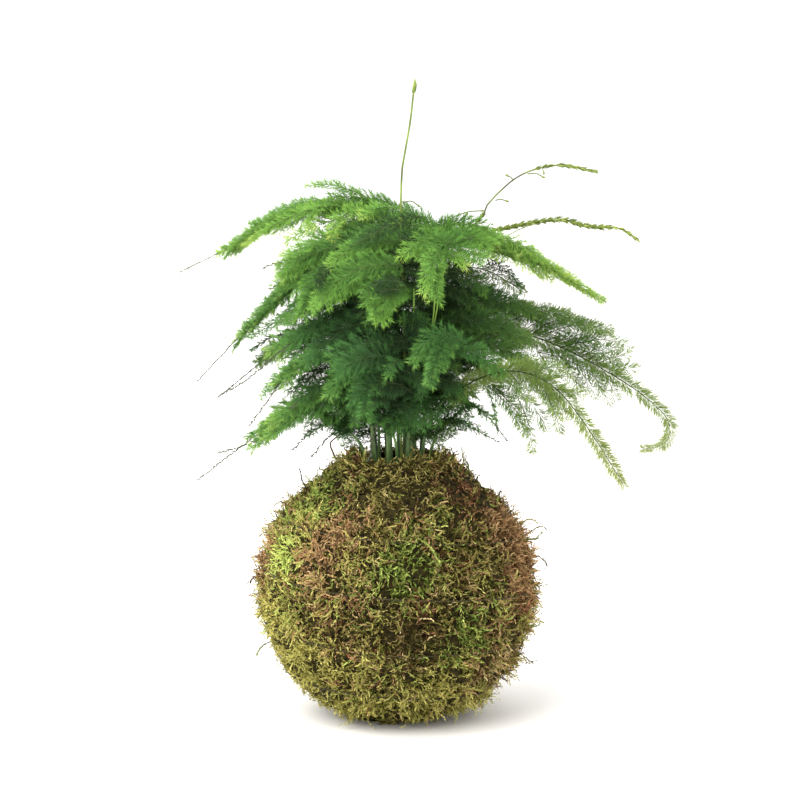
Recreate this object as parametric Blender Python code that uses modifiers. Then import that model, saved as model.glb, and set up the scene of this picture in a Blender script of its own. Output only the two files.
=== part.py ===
"""Kokedama: a ball of soil wrapped in moss sheets, with an asparagus fern growing from its top.

Metres, +Z up. The origin is the middle of the small flat spot that the ball rests on.
"""

import math

import bmesh
import bpy
from mathutils import Vector

MM = 0.001

# The ball
BALL_RADIUS = 58 * MM  # moss surface, without its loose tips
BALL_CENTRE = 54.5 * MM  # its height over the flat spot
LUMP_HEIGHT = 1.3 * MM
MOSS_THICKNESS = 7 * MM
SOIL_GAP = 0.85 * MM  # between the moss and the soil, on coarse facets
SHEET_GAP = 0.6 * MM  # between two moss sheets
BASE_LATITUDE = math.radians(-56)  # rim of the sheet under the ball
MIDDLE_LATITUDE = math.radians(-2)
COLLAR_LATITUDE = math.radians(52)  # outer rim of the collar
LOWER_SEAMS = (-100, -12, 80, 172)  # longitudes in degrees, one seam to each lower sheet
UPPER_SEAMS = (-58, 35, 128, 218)
SEAM_WAVE = 5 * MM
COLLAR_RIM = 18.6 * MM  # radius of the opening that the stems pass through
COLLAR_CREST = 2.5 * MM  # how far outside the opening the collar is highest
COLLAR_TOP = 112.6 * MM

# The root crown in the top of the soil
CROWN_RADII = (16.5 * MM, 13.5 * MM, 7.5 * MM)
CROWN_HEIGHT = 99.5 * MM
ROOT_COUNT = 5
ROOT_RADIUS = 1.7 * MM
ROOT_TIP = 0.4  # radius at the tip, as a part of ROOT_RADIUS
ROOT_START = 7 * MM  # how far from the axis a root leaves the crown
ROOT_SPREAD = 17 * MM  # how much further out its tip is
ROOT_DEPTHS = (36 * MM, 41 * MM, 46 * MM)  # how far down the roots reach, in turn
ROOT_TURN = 0.5  # radians that a root swings round the axis
ROOT_STEPS = 5
POCKET_GAP = 0.4 * MM

# The binding thread
THREAD_RADIUS = 0.35 * MM
THREAD_STAND_OFF = 1.05 * MM
THREAD_TURNS = 4
THREAD_STEPS = 30  # points on each turn
THREAD_LATITUDE = math.radians(46)

# The fern
STEM_FOOT_GAP = 0.4 * MM
STEM_BASE_RADIUS = 0.8 * MM
STEM_TOP_RADIUS = 0.5 * MM
FROND_GAP = 0.65 * MM  # between a stem's end and the frond that it carries
FROND_HALF_THICKNESS = 1.5 * MM
FROND_DROOP = 0.3  # how far a frond's edges hang, as a part of its half width
SECTION_SIDE = 4  # facets across a frond's upper face
STEM_STEPS = 9
FROND_STEPS = 10
PATH_STEPS = 4  # points between two knots of a path, before it is spaced evenly
SHOOT_END_RADIUS = 0.3 * MM

# Each frond: (name, foot of its stem, where the stem starts to bend, points along the frond,
# half width, direction its upper face leans to), in millimetres.
FRONDS = (
    ("upper_left", (-4, 1), (-1, 2, 160),
     ((6, 0, 203), (-1, 0, 217), (-16, 1, 223), (-34, 0, 224), (-52, -3, 218), (-68, -6, 206),
      (-91, -9, 192)),
     17, (0, -0.5, 1)),
    ("upper_left_front", (-7, -3), (-8, -5, 150),
     ((-11, -9, 190), (-21, -20, 198), (-32, -33, 193), (-39, -52, 176)),
     13, (-0.2, -0.5, 1)),
    ("upper_front", (-2, -6), (-3, -8, 160),
     ((-6, -12, 200), (-9, -25, 206), (-10, -41, 198), (-8, -61, 176)),
     10, (0, -0.5, 1)),
    ("upper_front_right", (6, -5), (7, -7, 160),
     ((10, -11, 200), (14, -25, 207), (16, -40, 201), (16, -57, 185)),
     10, (0.1, -0.5, 1)),
    ("upper_right", (7, -1), (8, -2, 160),
     ((13, -4, 198), (27, -7, 206), (44, -9, 204), (62, -11, 196), (89, -13, 179)),
     14, (0, -0.5, 1)),
    ("upper_right_back", (8, 3), (9, 5, 150),
     ((13, 9, 184), (27, 18, 193), (41, 27, 191), (57, 37, 180)),
     13, (0.1, 0.3, 1)),
    ("upper_back", (1, 6), (1, 9, 160),
     ((1, 16, 200), (2, 32, 208), (1, 52, 201), (-3, 84, 176)),
     16, (0, 0.2, 1)),
    ("upper_left_back", (-4, 5), (-5, 8, 155),
     ((-10, 14, 194), (-24, 27, 202), (-39, 43, 195), (-60, 66, 170)),
     15, (-0.1, 0.3, 1)),
    ("mid_left", (-10, 0), (-11, 1, 140),
     ((-15, 1, 174), (-29, -1, 189), (-44, -4, 187), (-59, -8, 174), (-84, -14, 146)),
     15, (-0.2, -0.4, 1)),
    ("mid_left_back", (-8, 4), (-10, 7, 135),
     ((-16, 13, 158), (-31, 22, 168), (-48, 32, 160), (-78, 48, 134)),
     14, (-0.1, 0.3, 1)),
    ("mid_left_front", (-8, -6), (-11, -9, 130),
     ((-16, -15, 148), (-29, -25, 158), (-43, -35, 153), (-60, -47, 131)),
     14, (-0.2, -0.5, 1)),
    ("mid_front", (-3, -9), (-4, -12, 130),
     ((-6, -19, 152), (-9, -34, 163), (-11, -49, 158), (-13, -70, 138)),
     13, (0, -0.5, 1)),
    ("mid_front_right", (4, -9), (6, -11, 132),
     ((11, -17, 155), (17, -30, 166), (18, -46, 164), (13, -64, 151)),
     11, (0.1, -0.5, 1)),
    ("mid_right", (11, -1), (13, -2, 135),
     ((19, -4, 158), (34, -6, 168), (52, -8, 168), (72, -9, 161), (90, -10, 151), (106, -10, 140),
      (117, -9, 128), (115, -8, 118), (105, -7, 116)),
     20, (0, -0.45, 1)),
    ("right_drooping", (9, -5), (14, -10, 128),
     ((21, -18, 139), (34, -31, 150), (50, -42, 154), (66, -47, 147), (80, -49, 129), (94, -50, 106)),
     14, (0.1, -0.6, 1)),
    ("mid_right_back", (10, 3), (13, 6, 140),
     ((19, 12, 166), (35, 26, 176), (55, 39, 176), (75, 49, 172), (97, 56, 161)),
     15, (0.1, 0.3, 1)),
    ("mid_back", (3, 9), (5, 12, 135),
     ((7, 19, 158), (11, 36, 168), (14, 55, 160), (19, 82, 136)),
     14, (0, 0.3, 1)),
    ("lower_left", (-11, -4), (-15, -7, 118),
     ((-20, -11, 124), (-33, -17, 134), (-47, -21, 131), (-61, -25, 121), (-83, -30, 106)),
     13, (-0.1, -0.5, 1)),
    ("lower_front", (1, -11), (0, -15, 119),
     ((-2, -20, 126), (-5, -31, 134), (-8, -44, 131), (-11, -60, 118)),
     11, (0, -0.5, 1)),
    ("lower_right", (12, -5), (16, -8, 119),
     ((20, -10, 127), (30, -14, 136), (38, -17, 133), (47, -20, 121)),
     9, (0.1, -0.4, 1)),
    ("lower_back", (-3, 8), (-4, 13, 125),
     ((-7, 21, 136), (-13, 36, 144), (-19, 54, 137), (-27, 78, 114)),
     13, (0, 0.3, 1)),
)

# Each young shoot: (name, foot, points along it, radius at the foot, radius near the tip), in millimetres.
SHOOTS = (
    ("tall_shoot", (2, -5),
     ((2.5, -9, 130), (3.5, -14, 152), (3, -15, 180), (2, -12, 215), (3, -11, 240), (6, -10, 262),
      (8, -10, 272)),
     0.7, 0.45),
    ("arching_shoot", (3, 3),
     ((4, 6, 150), (7, 9, 196), (15, 11, 210), (26, 10, 214), (36, 8, 217), (43, 6, 224), (51, 4, 231),
      (60, 3, 235), (70, 2, 236.5), (84, 2, 234)),
     0.7, 0.8),
    ("low_shoot", (5, 7),
     ((8, 10, 145), (12, 13, 190), (22, 15, 203), (36, 15, 207), (50, 14, 210), (60, 12, 212),
      (72, 10, 213), (84, 8, 209.5), (96, 7, 207.5), (103, 6, 203)),
     0.7, 0.9),
)

# The bare twig in the moss, in millimetres
TWIG_POINTS = ((-25.5, -7, 111.6), (-27, -7.5, 115), (-28, -8, 119), (-24.5, -9, 122), (-23, -9.5, 125))
TWIG_RADIUS = 0.5

COLOURS = {
    "moss": ((0.16, 0.15, 0.045, 1), 0.95),
    "soil": ((0.035, 0.022, 0.014, 1), 0.95),
    "root": ((0.25, 0.16, 0.07, 1), 0.8),
    "thread": ((0.02, 0.03, 0.02, 1), 0.7),
    "stem": ((0.10, 0.22, 0.05, 1), 0.55),
    "frond": ((0.08, 0.28, 0.05, 1), 0.6),
    "shoot": ((0.30, 0.45, 0.10, 1), 0.55),
    "twig": ((0.14, 0.09, 0.05, 1), 0.8),
}


# ---- helpers ---------------------------------------------------------------------------------

def clear_scene():
    for old in list(bpy.data.objects):
        bpy.data.objects.remove(old, do_unlink=True)


def new_collection(name):
    collection = bpy.data.collections.new(name)
    bpy.context.scene.collection.children.link(collection)
    return collection


def material(name):
    """The Principled material of one kind of piece."""
    found = bpy.data.materials.get(name)
    if found:
        return found
    colour, roughness = COLOURS[name]
    made = bpy.data.materials.new(name)
    made.use_nodes = True
    shader = made.node_tree.nodes["Principled BSDF"]
    shader.inputs["Base Color"].default_value = colour
    shader.inputs["Roughness"].default_value = roughness
    shader.inputs["Metallic"].default_value = 0
    made.diffuse_color = colour
    return made


def mesh_object(name, mesh_data, kind, collection, smooth_angle=40):
    """Writes a bmesh to a new object of the part, with its normals facing out."""
    bmesh.ops.recalc_face_normals(mesh_data, faces=mesh_data.faces)
    mesh = bpy.data.meshes.new(name)
    mesh_data.to_mesh(mesh)
    mesh_data.free()
    made = bpy.data.objects.new(name, mesh)
    collection.objects.link(made)
    mesh.materials.append(material(kind))
    mesh.shade_smooth()
    mesh.set_sharp_from_angle(angle=math.radians(smooth_angle))
    return made


def boolean(piece, operation, other):
    cut = piece.modifiers.new(operation.lower(), "BOOLEAN")
    cut.operation = operation
    cut.object = other
    return cut


def hide_cutter(cutter):
    cutter.hide_render = True
    cutter.display_type = "WIRE"


def tube(name, points, radii, kind, collection, resolution=1):
    """A curve object through the points, with a round section and filled caps."""
    curve = bpy.data.curves.new(name, "CURVE")
    curve.dimensions = "3D"
    curve.bevel_depth = 1 * MM
    curve.bevel_resolution = resolution
    curve.use_fill_caps = True
    spline = curve.splines.new("POLY")
    spline.points.add(len(points) - 1)
    for place, point, radius in zip(spline.points, points, radii):
        place.co = (*point, 1)
        place.radius = radius / curve.bevel_depth
    curve.materials.append(material(kind))
    made = bpy.data.objects.new(name, curve)
    collection.objects.link(made)
    return made


def mesh_from_curve(made, collection):
    """A mesh copy of a curve object with its caps welded on. The curve is removed."""
    bpy.context.view_layer.update()
    graph = bpy.context.evaluated_depsgraph_get()
    mesh = bpy.data.meshes.new_from_object(made.evaluated_get(graph))
    name = made.name
    place = made.matrix_world.copy()
    bpy.data.objects.remove(made, do_unlink=True)
    welded = bmesh.new()
    welded.from_mesh(mesh)
    bmesh.ops.remove_doubles(welded, verts=welded.verts, dist=0.01 * MM)
    welded.to_mesh(mesh)
    welded.free()
    copy = bpy.data.objects.new(name, mesh)
    copy.matrix_world = place
    collection.objects.link(copy)
    return copy


def smooth_path(points, steps):
    """(steps + 1) points on a Catmull-Rom curve through the given ones, evenly spread along its knots."""
    padded = [points[0] * 2 - points[1], *points, points[-1] * 2 - points[-2]]
    spans = len(points) - 1
    path = []
    for step in range(steps + 1):
        place = spans * step / steps
        span = min(int(place), spans - 1)
        t = place - span
        p0, p1, p2, p3 = padded[span:span + 4]
        path.append(
            (p1 * 2 + (p2 - p0) * t + (p0 * 2 - p1 * 5 + p2 * 4 - p3) * t**2
             + (p1 * 3 - p0 - p2 * 3 + p3) * t**3) / 2
        )
    return path


def thin_out(path, steps):
    """The same path with (steps + 1) points, evenly spaced by length."""
    lengths = [0.0]
    for first, second in zip(path, path[1:]):
        lengths.append(lengths[-1] + (second - first).length)
    thinned = []
    span = 0
    for step in range(steps + 1):
        target = lengths[-1] * step / steps
        while span < len(path) - 2 and lengths[span + 1] < target:
            span += 1
        part = (target - lengths[span]) / (lengths[span + 1] - lengths[span])
        thinned.append(path[span].lerp(path[span + 1], part))
    return thinned


def spread_radii(count, start, end):
    """Radii that run evenly from one value to the other."""
    return [start + (end - start) * step / (count - 1) for step in range(count)]


def in_metres(point):
    return Vector(point) * MM


# ---- the ball --------------------------------------------------------------------------------

def lump(longitude, latitude):
    """The ball's unevenness, which fades out before the base sheet and the collar."""
    reach = max(0.0, math.cos(latitude * math.radians(90) / COLLAR_LATITUDE)) ** 2
    wave = math.sin(3 * longitude + 0.7) * math.cos(2 * latitude + 0.4)
    ripple = 0.6 * math.sin(5 * longitude - 1.9 + 3 * latitude)
    return LUMP_HEIGHT * reach * (wave + ripple)


def ball_point(longitude, latitude, depth):
    """A point that deep under the moss surface. The underside is flat."""
    radius = BALL_RADIUS + lump(longitude, latitude) - depth
    across = radius * math.cos(latitude)
    height = BALL_CENTRE + radius * math.sin(latitude)
    return Vector((across * math.cos(longitude), across * math.sin(longitude), max(height, depth)))


def seam_longitude(degrees_east, latitude):
    """A wavy seam that runs from the base sheet up to the collar."""
    swing = SEAM_WAVE / BALL_RADIUS * math.sin(3.1 * latitude + math.radians(degrees_east) * 2)
    return math.radians(degrees_east) + swing


def base_latitude(_):
    return BASE_LATITUDE


def collar_latitude(_):
    return COLLAR_LATITUDE


def middle_latitude(longitude):
    return MIDDLE_LATITUDE + SEAM_WAVE / BALL_RADIUS * math.sin(3 * longitude + 0.5)


def moss_sheet(name, west, east, low, high, collection, cells=8):
    """A curved sheet between two seams (degrees) and two latitudes (functions of longitude)."""
    half_gap = SHEET_GAP / 2 / BALL_RADIUS
    sheet = bmesh.new()
    longitudes = sheet.verts.layers.float.new("longitude")
    latitudes = sheet.verts.layers.float.new("latitude")
    bmesh.ops.create_grid(sheet, x_segments=cells, y_segments=cells, size=0.5)
    for vertex in sheet.verts:
        across = vertex.co.x + 0.5
        up = vertex.co.y + 0.5
        latitude = low(0) + (high(0) - low(0)) * up
        for _ in range(3):  # the seams lean with latitude, and the rims with longitude
            inset = half_gap / math.cos(latitude)
            left = seam_longitude(west, latitude) + inset
            right = seam_longitude(east, latitude) - inset
            longitude = left + (right - left) * across
            bottom = low(longitude) + half_gap
            top = high(longitude) - half_gap
            latitude = bottom + (top - bottom) * up
        vertex[longitudes] = longitude
        vertex[latitudes] = latitude
        vertex.co = ball_point(longitude, latitude, 0)
    grown = bmesh.ops.extrude_face_region(sheet, geom=sheet.faces[:], use_keep_orig=True)
    for vertex in grown["geom"]:
        if isinstance(vertex, bmesh.types.BMVert):
            vertex.co = ball_point(vertex[longitudes], vertex[latitudes], MOSS_THICKNESS)
    return mesh_object(name, sheet, "moss", collection)


def turned(name, profile, kind, collection, steps=24):
    """A profile of (radius, height) points turned about the ball's axis."""
    outline = bmesh.new()
    points = [outline.verts.new((radius, 0, height)) for radius, height in profile]
    for start, end in zip(points, points[1:]):
        outline.edges.new((start, end))
    mesh = bpy.data.meshes.new(name)
    outline.to_mesh(mesh)
    outline.free()
    mesh.materials.append(material(kind))
    made = bpy.data.objects.new(name, mesh)
    collection.objects.link(made)
    screw = made.modifiers.new("turn", "SCREW")
    screw.steps = steps
    screw.render_steps = steps
    screw.use_merge_vertices = True
    screw.merge_threshold = 0.01 * MM
    screw.use_normal_calculate = True
    return made


def ball_arc(start, end, depth, count):
    """(radius, height) points on the ball's section between two latitudes."""
    arc = []
    for step in range(count + 1):
        point = ball_point(0, start + (end - start) * step / count, depth)
        arc.append((point.x, point.z))
    return arc


def moss_base(collection):
    """The sheet under the ball, with the flat spot."""
    rim = BASE_LATITUDE - SHEET_GAP / 2 / BALL_RADIUS
    spot = -math.acos(math.sqrt(BALL_RADIUS**2 - BALL_CENTRE**2) / BALL_RADIUS)
    inner_spot = -math.asin((BALL_CENTRE - MOSS_THICKNESS) / (BALL_RADIUS - MOSS_THICKNESS))
    profile = [(0, MOSS_THICKNESS)]
    profile += ball_arc(inner_spot, rim, MOSS_THICKNESS, 4)
    profile += ball_arc(rim, spot, 0, 4)
    profile += [(0, 0)]
    return turned("moss_base", profile, "moss", collection)


def moss_collar(collection):
    """The moss round the stems, heaped up over the ball's own curve."""
    rim = COLLAR_LATITUDE + SHEET_GAP / 2 / BALL_RADIUS
    crest_radius = COLLAR_RIM + COLLAR_CREST
    outside = ball_arc(rim, math.acos(crest_radius / BALL_RADIUS), 0, 5)
    heap = COLLAR_TOP - outside[-1][1]
    steps = len(outside) - 1
    outside = [(radius, height + heap * index / steps) for index, (radius, height) in enumerate(outside)]
    inside = ball_arc(rim, math.acos(COLLAR_RIM / (BALL_RADIUS - MOSS_THICKNESS)), MOSS_THICKNESS, 3)
    lip = (COLLAR_RIM, COLLAR_TOP - COLLAR_CREST / 2)
    profile = outside[::-1] + inside + [lip]
    return turned("moss_collar", profile + profile[:1], "moss", collection)


def moss(collection):
    moss_base(collection)
    moss_collar(collection)
    tiers = (
        ("lower", LOWER_SEAMS, base_latitude, middle_latitude),
        ("upper", UPPER_SEAMS, middle_latitude, collar_latitude),
    )
    for tier, seams, low, high in tiers:
        for index, west in enumerate(seams):
            east = seams[(index + 1) % len(seams)]
            if east < west:
                east += 360
            moss_sheet(f"moss_sheet_{tier}_{index + 1}", west, east, low, high, collection)


def binding_thread(collection):
    """One thread wound round the moss, from below the collar to above the base sheet."""
    count = THREAD_TURNS * THREAD_STEPS
    points = []
    for step in range(count + 1):
        part = step / count
        latitude = THREAD_LATITUDE * (1 - 2 * part)
        longitude = 2 * math.pi * THREAD_TURNS * part
        points.append(ball_point(longitude, latitude, -THREAD_STAND_OFF))
    tube("binding_thread", points, [THREAD_RADIUS] * len(points), "thread", collection, resolution=0)


# ---- soil and root crown ---------------------------------------------------------------------

def crown_height(x, y):
    """Height of the crown's upper face over a point."""
    across = (x / CROWN_RADII[0]) ** 2 + (y / CROWN_RADII[1]) ** 2
    return CROWN_HEIGHT + CROWN_RADII[2] * math.sqrt(1 - across)


def crown_shape(name, growth, collection):
    """The crown's body, or with a growth the hollow that it fills."""
    body = bmesh.new()
    bmesh.ops.create_uvsphere(body, u_segments=20, v_segments=10, radius=1)
    for vertex in body.verts:
        for axis, radius in enumerate(CROWN_RADII):
            vertex.co[axis] *= radius + growth
        vertex.co.z += CROWN_HEIGHT
    return mesh_object(name, body, "root", collection)


def root(name, index, growth, collection):
    """One thick root that runs down into the soil."""
    angle = 2 * math.pi * (index + 0.3) / ROOT_COUNT
    points = []
    for step in range(ROOT_STEPS + 1):
        part = step / ROOT_STEPS
        reach = ROOT_START + ROOT_SPREAD * part**0.8
        height = CROWN_HEIGHT - ROOT_DEPTHS[index % len(ROOT_DEPTHS)] * part
        turn = angle + ROOT_TURN * part
        points.append(Vector((reach * math.cos(turn), reach * math.sin(turn), height)))
    radii = spread_radii(len(points), ROOT_RADIUS + growth, ROOT_RADIUS * ROOT_TIP + growth)
    if growth:
        points[-1] += (points[-1] - points[-2]).normalized() * growth
    return mesh_from_curve(tube(name, points, radii, "root", collection), collection)


def root_crown_and_soil(collection, cutters):
    crown = crown_shape("root_crown", 0, collection)
    pocket = crown_shape("crown_pocket", POCKET_GAP, cutters)
    for index in range(ROOT_COUNT):
        grown = root(f"root_{index + 1}", index, 0, cutters)
        hollow = root(f"root_hollow_{index + 1}", index, POCKET_GAP, cutters)
        boolean(crown, "UNION", grown)
        boolean(pocket, "UNION", hollow)
        hide_cutter(grown)
        hide_cutter(hollow)
    soil = bmesh.new()
    bmesh.ops.create_uvsphere(soil, u_segments=28, v_segments=16, radius=1)
    for vertex in soil.verts:
        longitude = math.atan2(vertex.co.y, vertex.co.x)
        latitude = math.asin(max(-1, min(1, vertex.co.z)))
        vertex.co = ball_point(longitude, latitude, MOSS_THICKNESS + SOIL_GAP)
    core = mesh_object("soil_core", soil, "soil", collection)
    boolean(core, "DIFFERENCE", pocket)
    hide_cutter(pocket)


# ---- the fern --------------------------------------------------------------------------------

def foot_point(foot, radius):
    """Where a stem starts, just over the crown."""
    x, y = foot[0] * MM, foot[1] * MM
    slope = math.hypot(x / CROWN_RADII[0], y / CROWN_RADII[1])
    return Vector((x, y, crown_height(x, y) + STEM_FOOT_GAP + radius * slope))


def leaf_outline(part):
    """Half width along a frond, as a part of the widest: narrow foot, belly, long pointed tip."""
    return 0.14 + 0.86 * math.sin(math.pi * min(1, part) ** 0.62) ** 1.1


def frond_section(centre, along, face, half_width, half_thickness):
    """The eight points of one cross-section: a thin lens whose two edges droop."""
    side = along.cross(face)
    droop = FROND_DROOP * half_width
    upper = []
    lower = []
    for step in range(SECTION_SIDE + 1):
        across = -1 + 2 * step / SECTION_SIDE
        bulge = half_thickness * math.sqrt(1 - across**2)
        middle = centre + side * across * half_width - face * droop * across**2
        upper.append(middle + face * bulge)
        lower.append(middle - face * bulge)
    return upper + lower[-2:0:-1]


def square_to(along, direction):
    return (direction - along * direction.dot(along)).normalized()


def frond_faces(path, lean):
    """The tangent and the upper face's direction at each point. The face is set where the frond
    is flattest, and is carried both ways from there without twisting."""
    last = len(path) - 1
    tangents = [(path[min(i + 1, last)] - path[max(i - 1, 0)]).normalized() for i in range(last + 1)]
    flattest = min(range(last + 1), key=lambda i: abs(tangents[i].z))
    faces = [None] * (last + 1)
    faces[flattest] = square_to(tangents[flattest], lean)
    for index in range(flattest + 1, last + 1):
        faces[index] = square_to(tangents[index], faces[index - 1])
    for index in range(flattest - 1, -1, -1):
        faces[index] = square_to(tangents[index], faces[index + 1])
    return tangents, faces


def frond(name, path, half_width, lean, collection):
    """A closed blade lofted along the path, for the whole leaf spray."""
    blade = bmesh.new()
    rings = []
    tangents, faces = frond_faces(path, lean)
    for index, centre in enumerate(path):
        part = leaf_outline(index / (len(path) - 1))
        thickness = FROND_HALF_THICKNESS * (0.4 + 0.6 * part)
        section = frond_section(centre, tangents[index], faces[index], half_width * part, thickness)
        rings.append([blade.verts.new(point) for point in section])
    for first, second in zip(rings, rings[1:]):
        for index in range(len(first)):
            following = (index + 1) % len(first)
            blade.faces.new((first[index], first[following], second[following], second[index]))
    blade.faces.new(rings[0])
    blade.faces.new(rings[-1])
    return mesh_object(name, blade, "frond", collection)


def fern(collection):
    for name, foot, bend, places, half_width, lean in FRONDS:
        start = foot_point(foot, STEM_BASE_RADIUS)
        stem_knots = [start, (start + in_metres(bend)) / 2, in_metres(bend)]
        knots = stem_knots + [in_metres(place) for place in places]
        whole = smooth_path(knots, (len(knots) - 1) * PATH_STEPS)
        fork = len(stem_knots) * PATH_STEPS
        stem_path = thin_out(whole[:fork + 1], STEM_STEPS)
        frond_path = thin_out(whole[fork:], max(FROND_STEPS, 2 * len(places)))
        toward = (frond_path[1] - frond_path[0]).normalized()
        stem_path[-1] -= toward * FROND_GAP
        radii = spread_radii(len(stem_path), STEM_BASE_RADIUS, STEM_TOP_RADIUS)
        tube(f"stem_{name}", stem_path, radii, "stem", collection)
        frond(f"frond_{name}", frond_path, half_width * MM, Vector(lean).normalized(), collection)


def young_shoots(collection):
    for name, foot, places, foot_radius, tip_radius in SHOOTS:
        start = foot_point(foot, foot_radius * MM)
        knots = [start, *map(in_metres, places)]
        path = smooth_path(knots, 2 * len(knots))
        radii = spread_radii(len(path), foot_radius * MM, tip_radius * MM)
        radii[-1] = SHOOT_END_RADIUS
        tube(name, path, radii, "shoot", collection)


def twig(collection):
    path = smooth_path([in_metres(point) for point in TWIG_POINTS], 8)
    radii = spread_radii(len(path), TWIG_RADIUS * MM, 0.5 * TWIG_RADIUS * MM)
    tube("bare_twig", path, radii, "twig", collection)


def main():
    clear_scene()
    parts = new_collection("kokedama")
    cutters = new_collection("cutters")
    moss(parts)
    binding_thread(parts)
    root_crown_and_soil(parts, cutters)
    fern(parts)
    young_shoots(parts)
    twig(parts)


main()
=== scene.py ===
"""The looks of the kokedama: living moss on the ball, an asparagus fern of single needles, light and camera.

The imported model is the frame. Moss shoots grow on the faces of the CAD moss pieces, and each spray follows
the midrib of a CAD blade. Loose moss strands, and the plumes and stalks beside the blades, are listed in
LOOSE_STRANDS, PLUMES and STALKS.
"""
import math

import bpy
import numpy as np
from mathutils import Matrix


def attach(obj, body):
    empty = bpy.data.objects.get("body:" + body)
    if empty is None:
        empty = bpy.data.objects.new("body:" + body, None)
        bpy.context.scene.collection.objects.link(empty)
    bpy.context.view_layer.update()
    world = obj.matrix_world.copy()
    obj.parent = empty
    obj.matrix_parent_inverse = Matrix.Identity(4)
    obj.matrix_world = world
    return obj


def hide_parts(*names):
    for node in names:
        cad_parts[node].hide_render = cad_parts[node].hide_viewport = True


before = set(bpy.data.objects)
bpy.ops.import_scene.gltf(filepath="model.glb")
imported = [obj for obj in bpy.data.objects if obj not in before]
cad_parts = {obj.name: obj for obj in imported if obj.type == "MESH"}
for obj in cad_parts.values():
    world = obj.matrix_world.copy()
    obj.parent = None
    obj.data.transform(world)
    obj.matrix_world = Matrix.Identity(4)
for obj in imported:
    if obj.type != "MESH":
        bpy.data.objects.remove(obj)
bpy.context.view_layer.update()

MM = 0.001
UP = np.array((0.0, 0.0, 1.0))

# The ball
BALL_CENTRE = np.array((0.0, 0.0, 54.5)) * MM
BALL_RADIUS = 58 * MM
SHOOTS_PER_MM2 = 0.62
SHOOT_STEPS = 5
SHOOT_LEAVES = 9
LEAF_TURN = 2.4  # radians from one leaf round the shoot to the next
LEAF_LENGTH = 1.7 * MM
LEAF_WIDTH = 0.66 * MM
LEAF_SPREAD = math.radians(30)  # between a leaf and its shoot
FOOT_DEPTH = 0.9 * MM
GROUND_CUTS = 4  # each side of a CAD face is cut into this many
BASE_THINNING = 0.7  # the moss under the ball is that much thinner

# Corners of the cross-sections of the CAD pieces
STEM_SIDES = 6
BLADE_SIDES = 8

# Moss colours, as places on the palette's family axis
EARTH, DARK, RED, BROWN, TAN = 0.05, 0.14, 0.26, 0.38, 0.5
OLIVE, YELLOW, GREEN, LIME = 0.62, 0.74, 0.86, 0.96
FAMILY_SPREAD = 0.045

# Patches on the ball: (family, across, depth, height, radius, strength), in millimetres
MOSS_PATCHES = (
    (BROWN, -29, -44, 79, 11, 3.2),
    (RED, 12, -56, 54, 8, 3.4),
    (RED, 30, -21, 102, 11, 2.6),
    (BROWN, 50, -26, 88, 12, 2.6),
    (BROWN, 55, -18, 68, 12, 2.8),
    (RED, 53, -18, 52, 11, 2.6),
    (LIME, -44, -32, 76, 10, 2.6),
    (GREEN, -32, -28, 96, 13, 2.6),
    (GREEN, 4, -55, 72, 8, 2.6),
    (GREEN, 24, -50, 40, 12, 2.6),
    (LIME, 38, -42, 60, 8, 2.2),
    (DARK, 12, -54, 42, 10, 2.4),
    (DARK, -20, -53, 42, 9, 2.0),
    (RED, -14, -44, 22, 9, 2.4),
    (BROWN, -30, -49, 48, 10, 2.0),
    (BROWN, -56, -8, 70, 10, 2.2),
    (YELLOW, -42, -26, 28, 20, 2.4),
    (YELLOW, 2, -34, 10, 18, 2.2),
    (TAN, 38, -30, 24, 14, 2.0),
    (OLIVE, 4, -30, 104, 14, 2.0),
    (GREEN, 20, 50, 70, 14, 2.2),
    (BROWN, -25, 48, 50, 14, 2.2),
    (YELLOW, 10, 40, 20, 18, 2.0),
    (LIME, 45, 35, 60, 10, 2.0),
    (RED, -50, 25, 80, 11, 2.2),
)

# Painted light and shade: the moss brighter on the lit left, darker in shade under the fern and on the front
# and right: (across, depth, height, radius, strength), in millimetres
PAINTED_MOSS_LIGHT = (
    (-52, -26, 74, 22, 0.22),
    (-40, -30, 34, 24, 0.1),
    (-38, -32, 94, 22, 0.42),
    (4, -34, 100, 22, -0.16),
    (2, -56, 52, 16, -0.1),
    (24, -48, 30, 14, -0.06),
    (40, -36, 84, 18, -0.08),
)


# Each family's colour at the dark and the bright end of the palette's age axis, as on screen
MOSS_COLOURS = {
    EARTH: ((26, 22, 5), (66, 57, 24)),
    DARK: ((38, 36, 8), (96, 88, 44)),
    RED: ((62, 34, 18), (168, 118, 84)),
    BROWN: ((76, 50, 20), (196, 158, 110)),
    TAN: ((98, 76, 36), (230, 206, 150)),
    OLIVE: ((60, 55, 17), (174, 164, 88)),
    YELLOW: ((104, 98, 32), (212, 202, 116)),
    GREEN: ((50, 64, 14), (140, 164, 74)),
    LIME: ((84, 98, 26), (222, 234, 130)),
}

# Needle colours from bare tips and wood to dark and then young needles, as on screen, and their places
NEEDLE_STOPS = (0.0, 0.06, 0.12, 0.3, 0.5, 0.75, 1.0)
NEEDLE_COLOURS = {
    "fresh": ((78, 66, 64), (84, 100, 50), (32, 54, 22), (54, 90, 35), (82, 128, 48), (120, 168, 68),
              (184, 208, 104)),
    "green": ((78, 66, 70), (62, 78, 38), (22, 40, 15), (40, 74, 30), (60, 104, 44), (92, 140, 60),
              (152, 184, 90)),
    "olive": ((64, 56, 44), (50, 58, 30), (30, 54, 20), (54, 88, 34), (84, 118, 48), (124, 148, 74),
              (164, 174, 108)),
}
YOUNG_STOPS = (0.0, 0.12, 0.4, 0.7, 1.0)
YOUNG_COLOURS = ((96, 88, 74), (90, 98, 52), (116, 136, 62), (146, 164, 80), (188, 198, 118))


def srgb(red, green, blue):
    """A colour given as 0 to 255 on screen, as the linear colour that a shader takes."""
    parts = [value / 255 for value in (red, green, blue)]
    linear = [p / 12.92 if p <= 0.04045 else ((p + 0.055) / 1.055) ** 2.4 for p in parts]
    return (*linear, 1.0)


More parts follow.
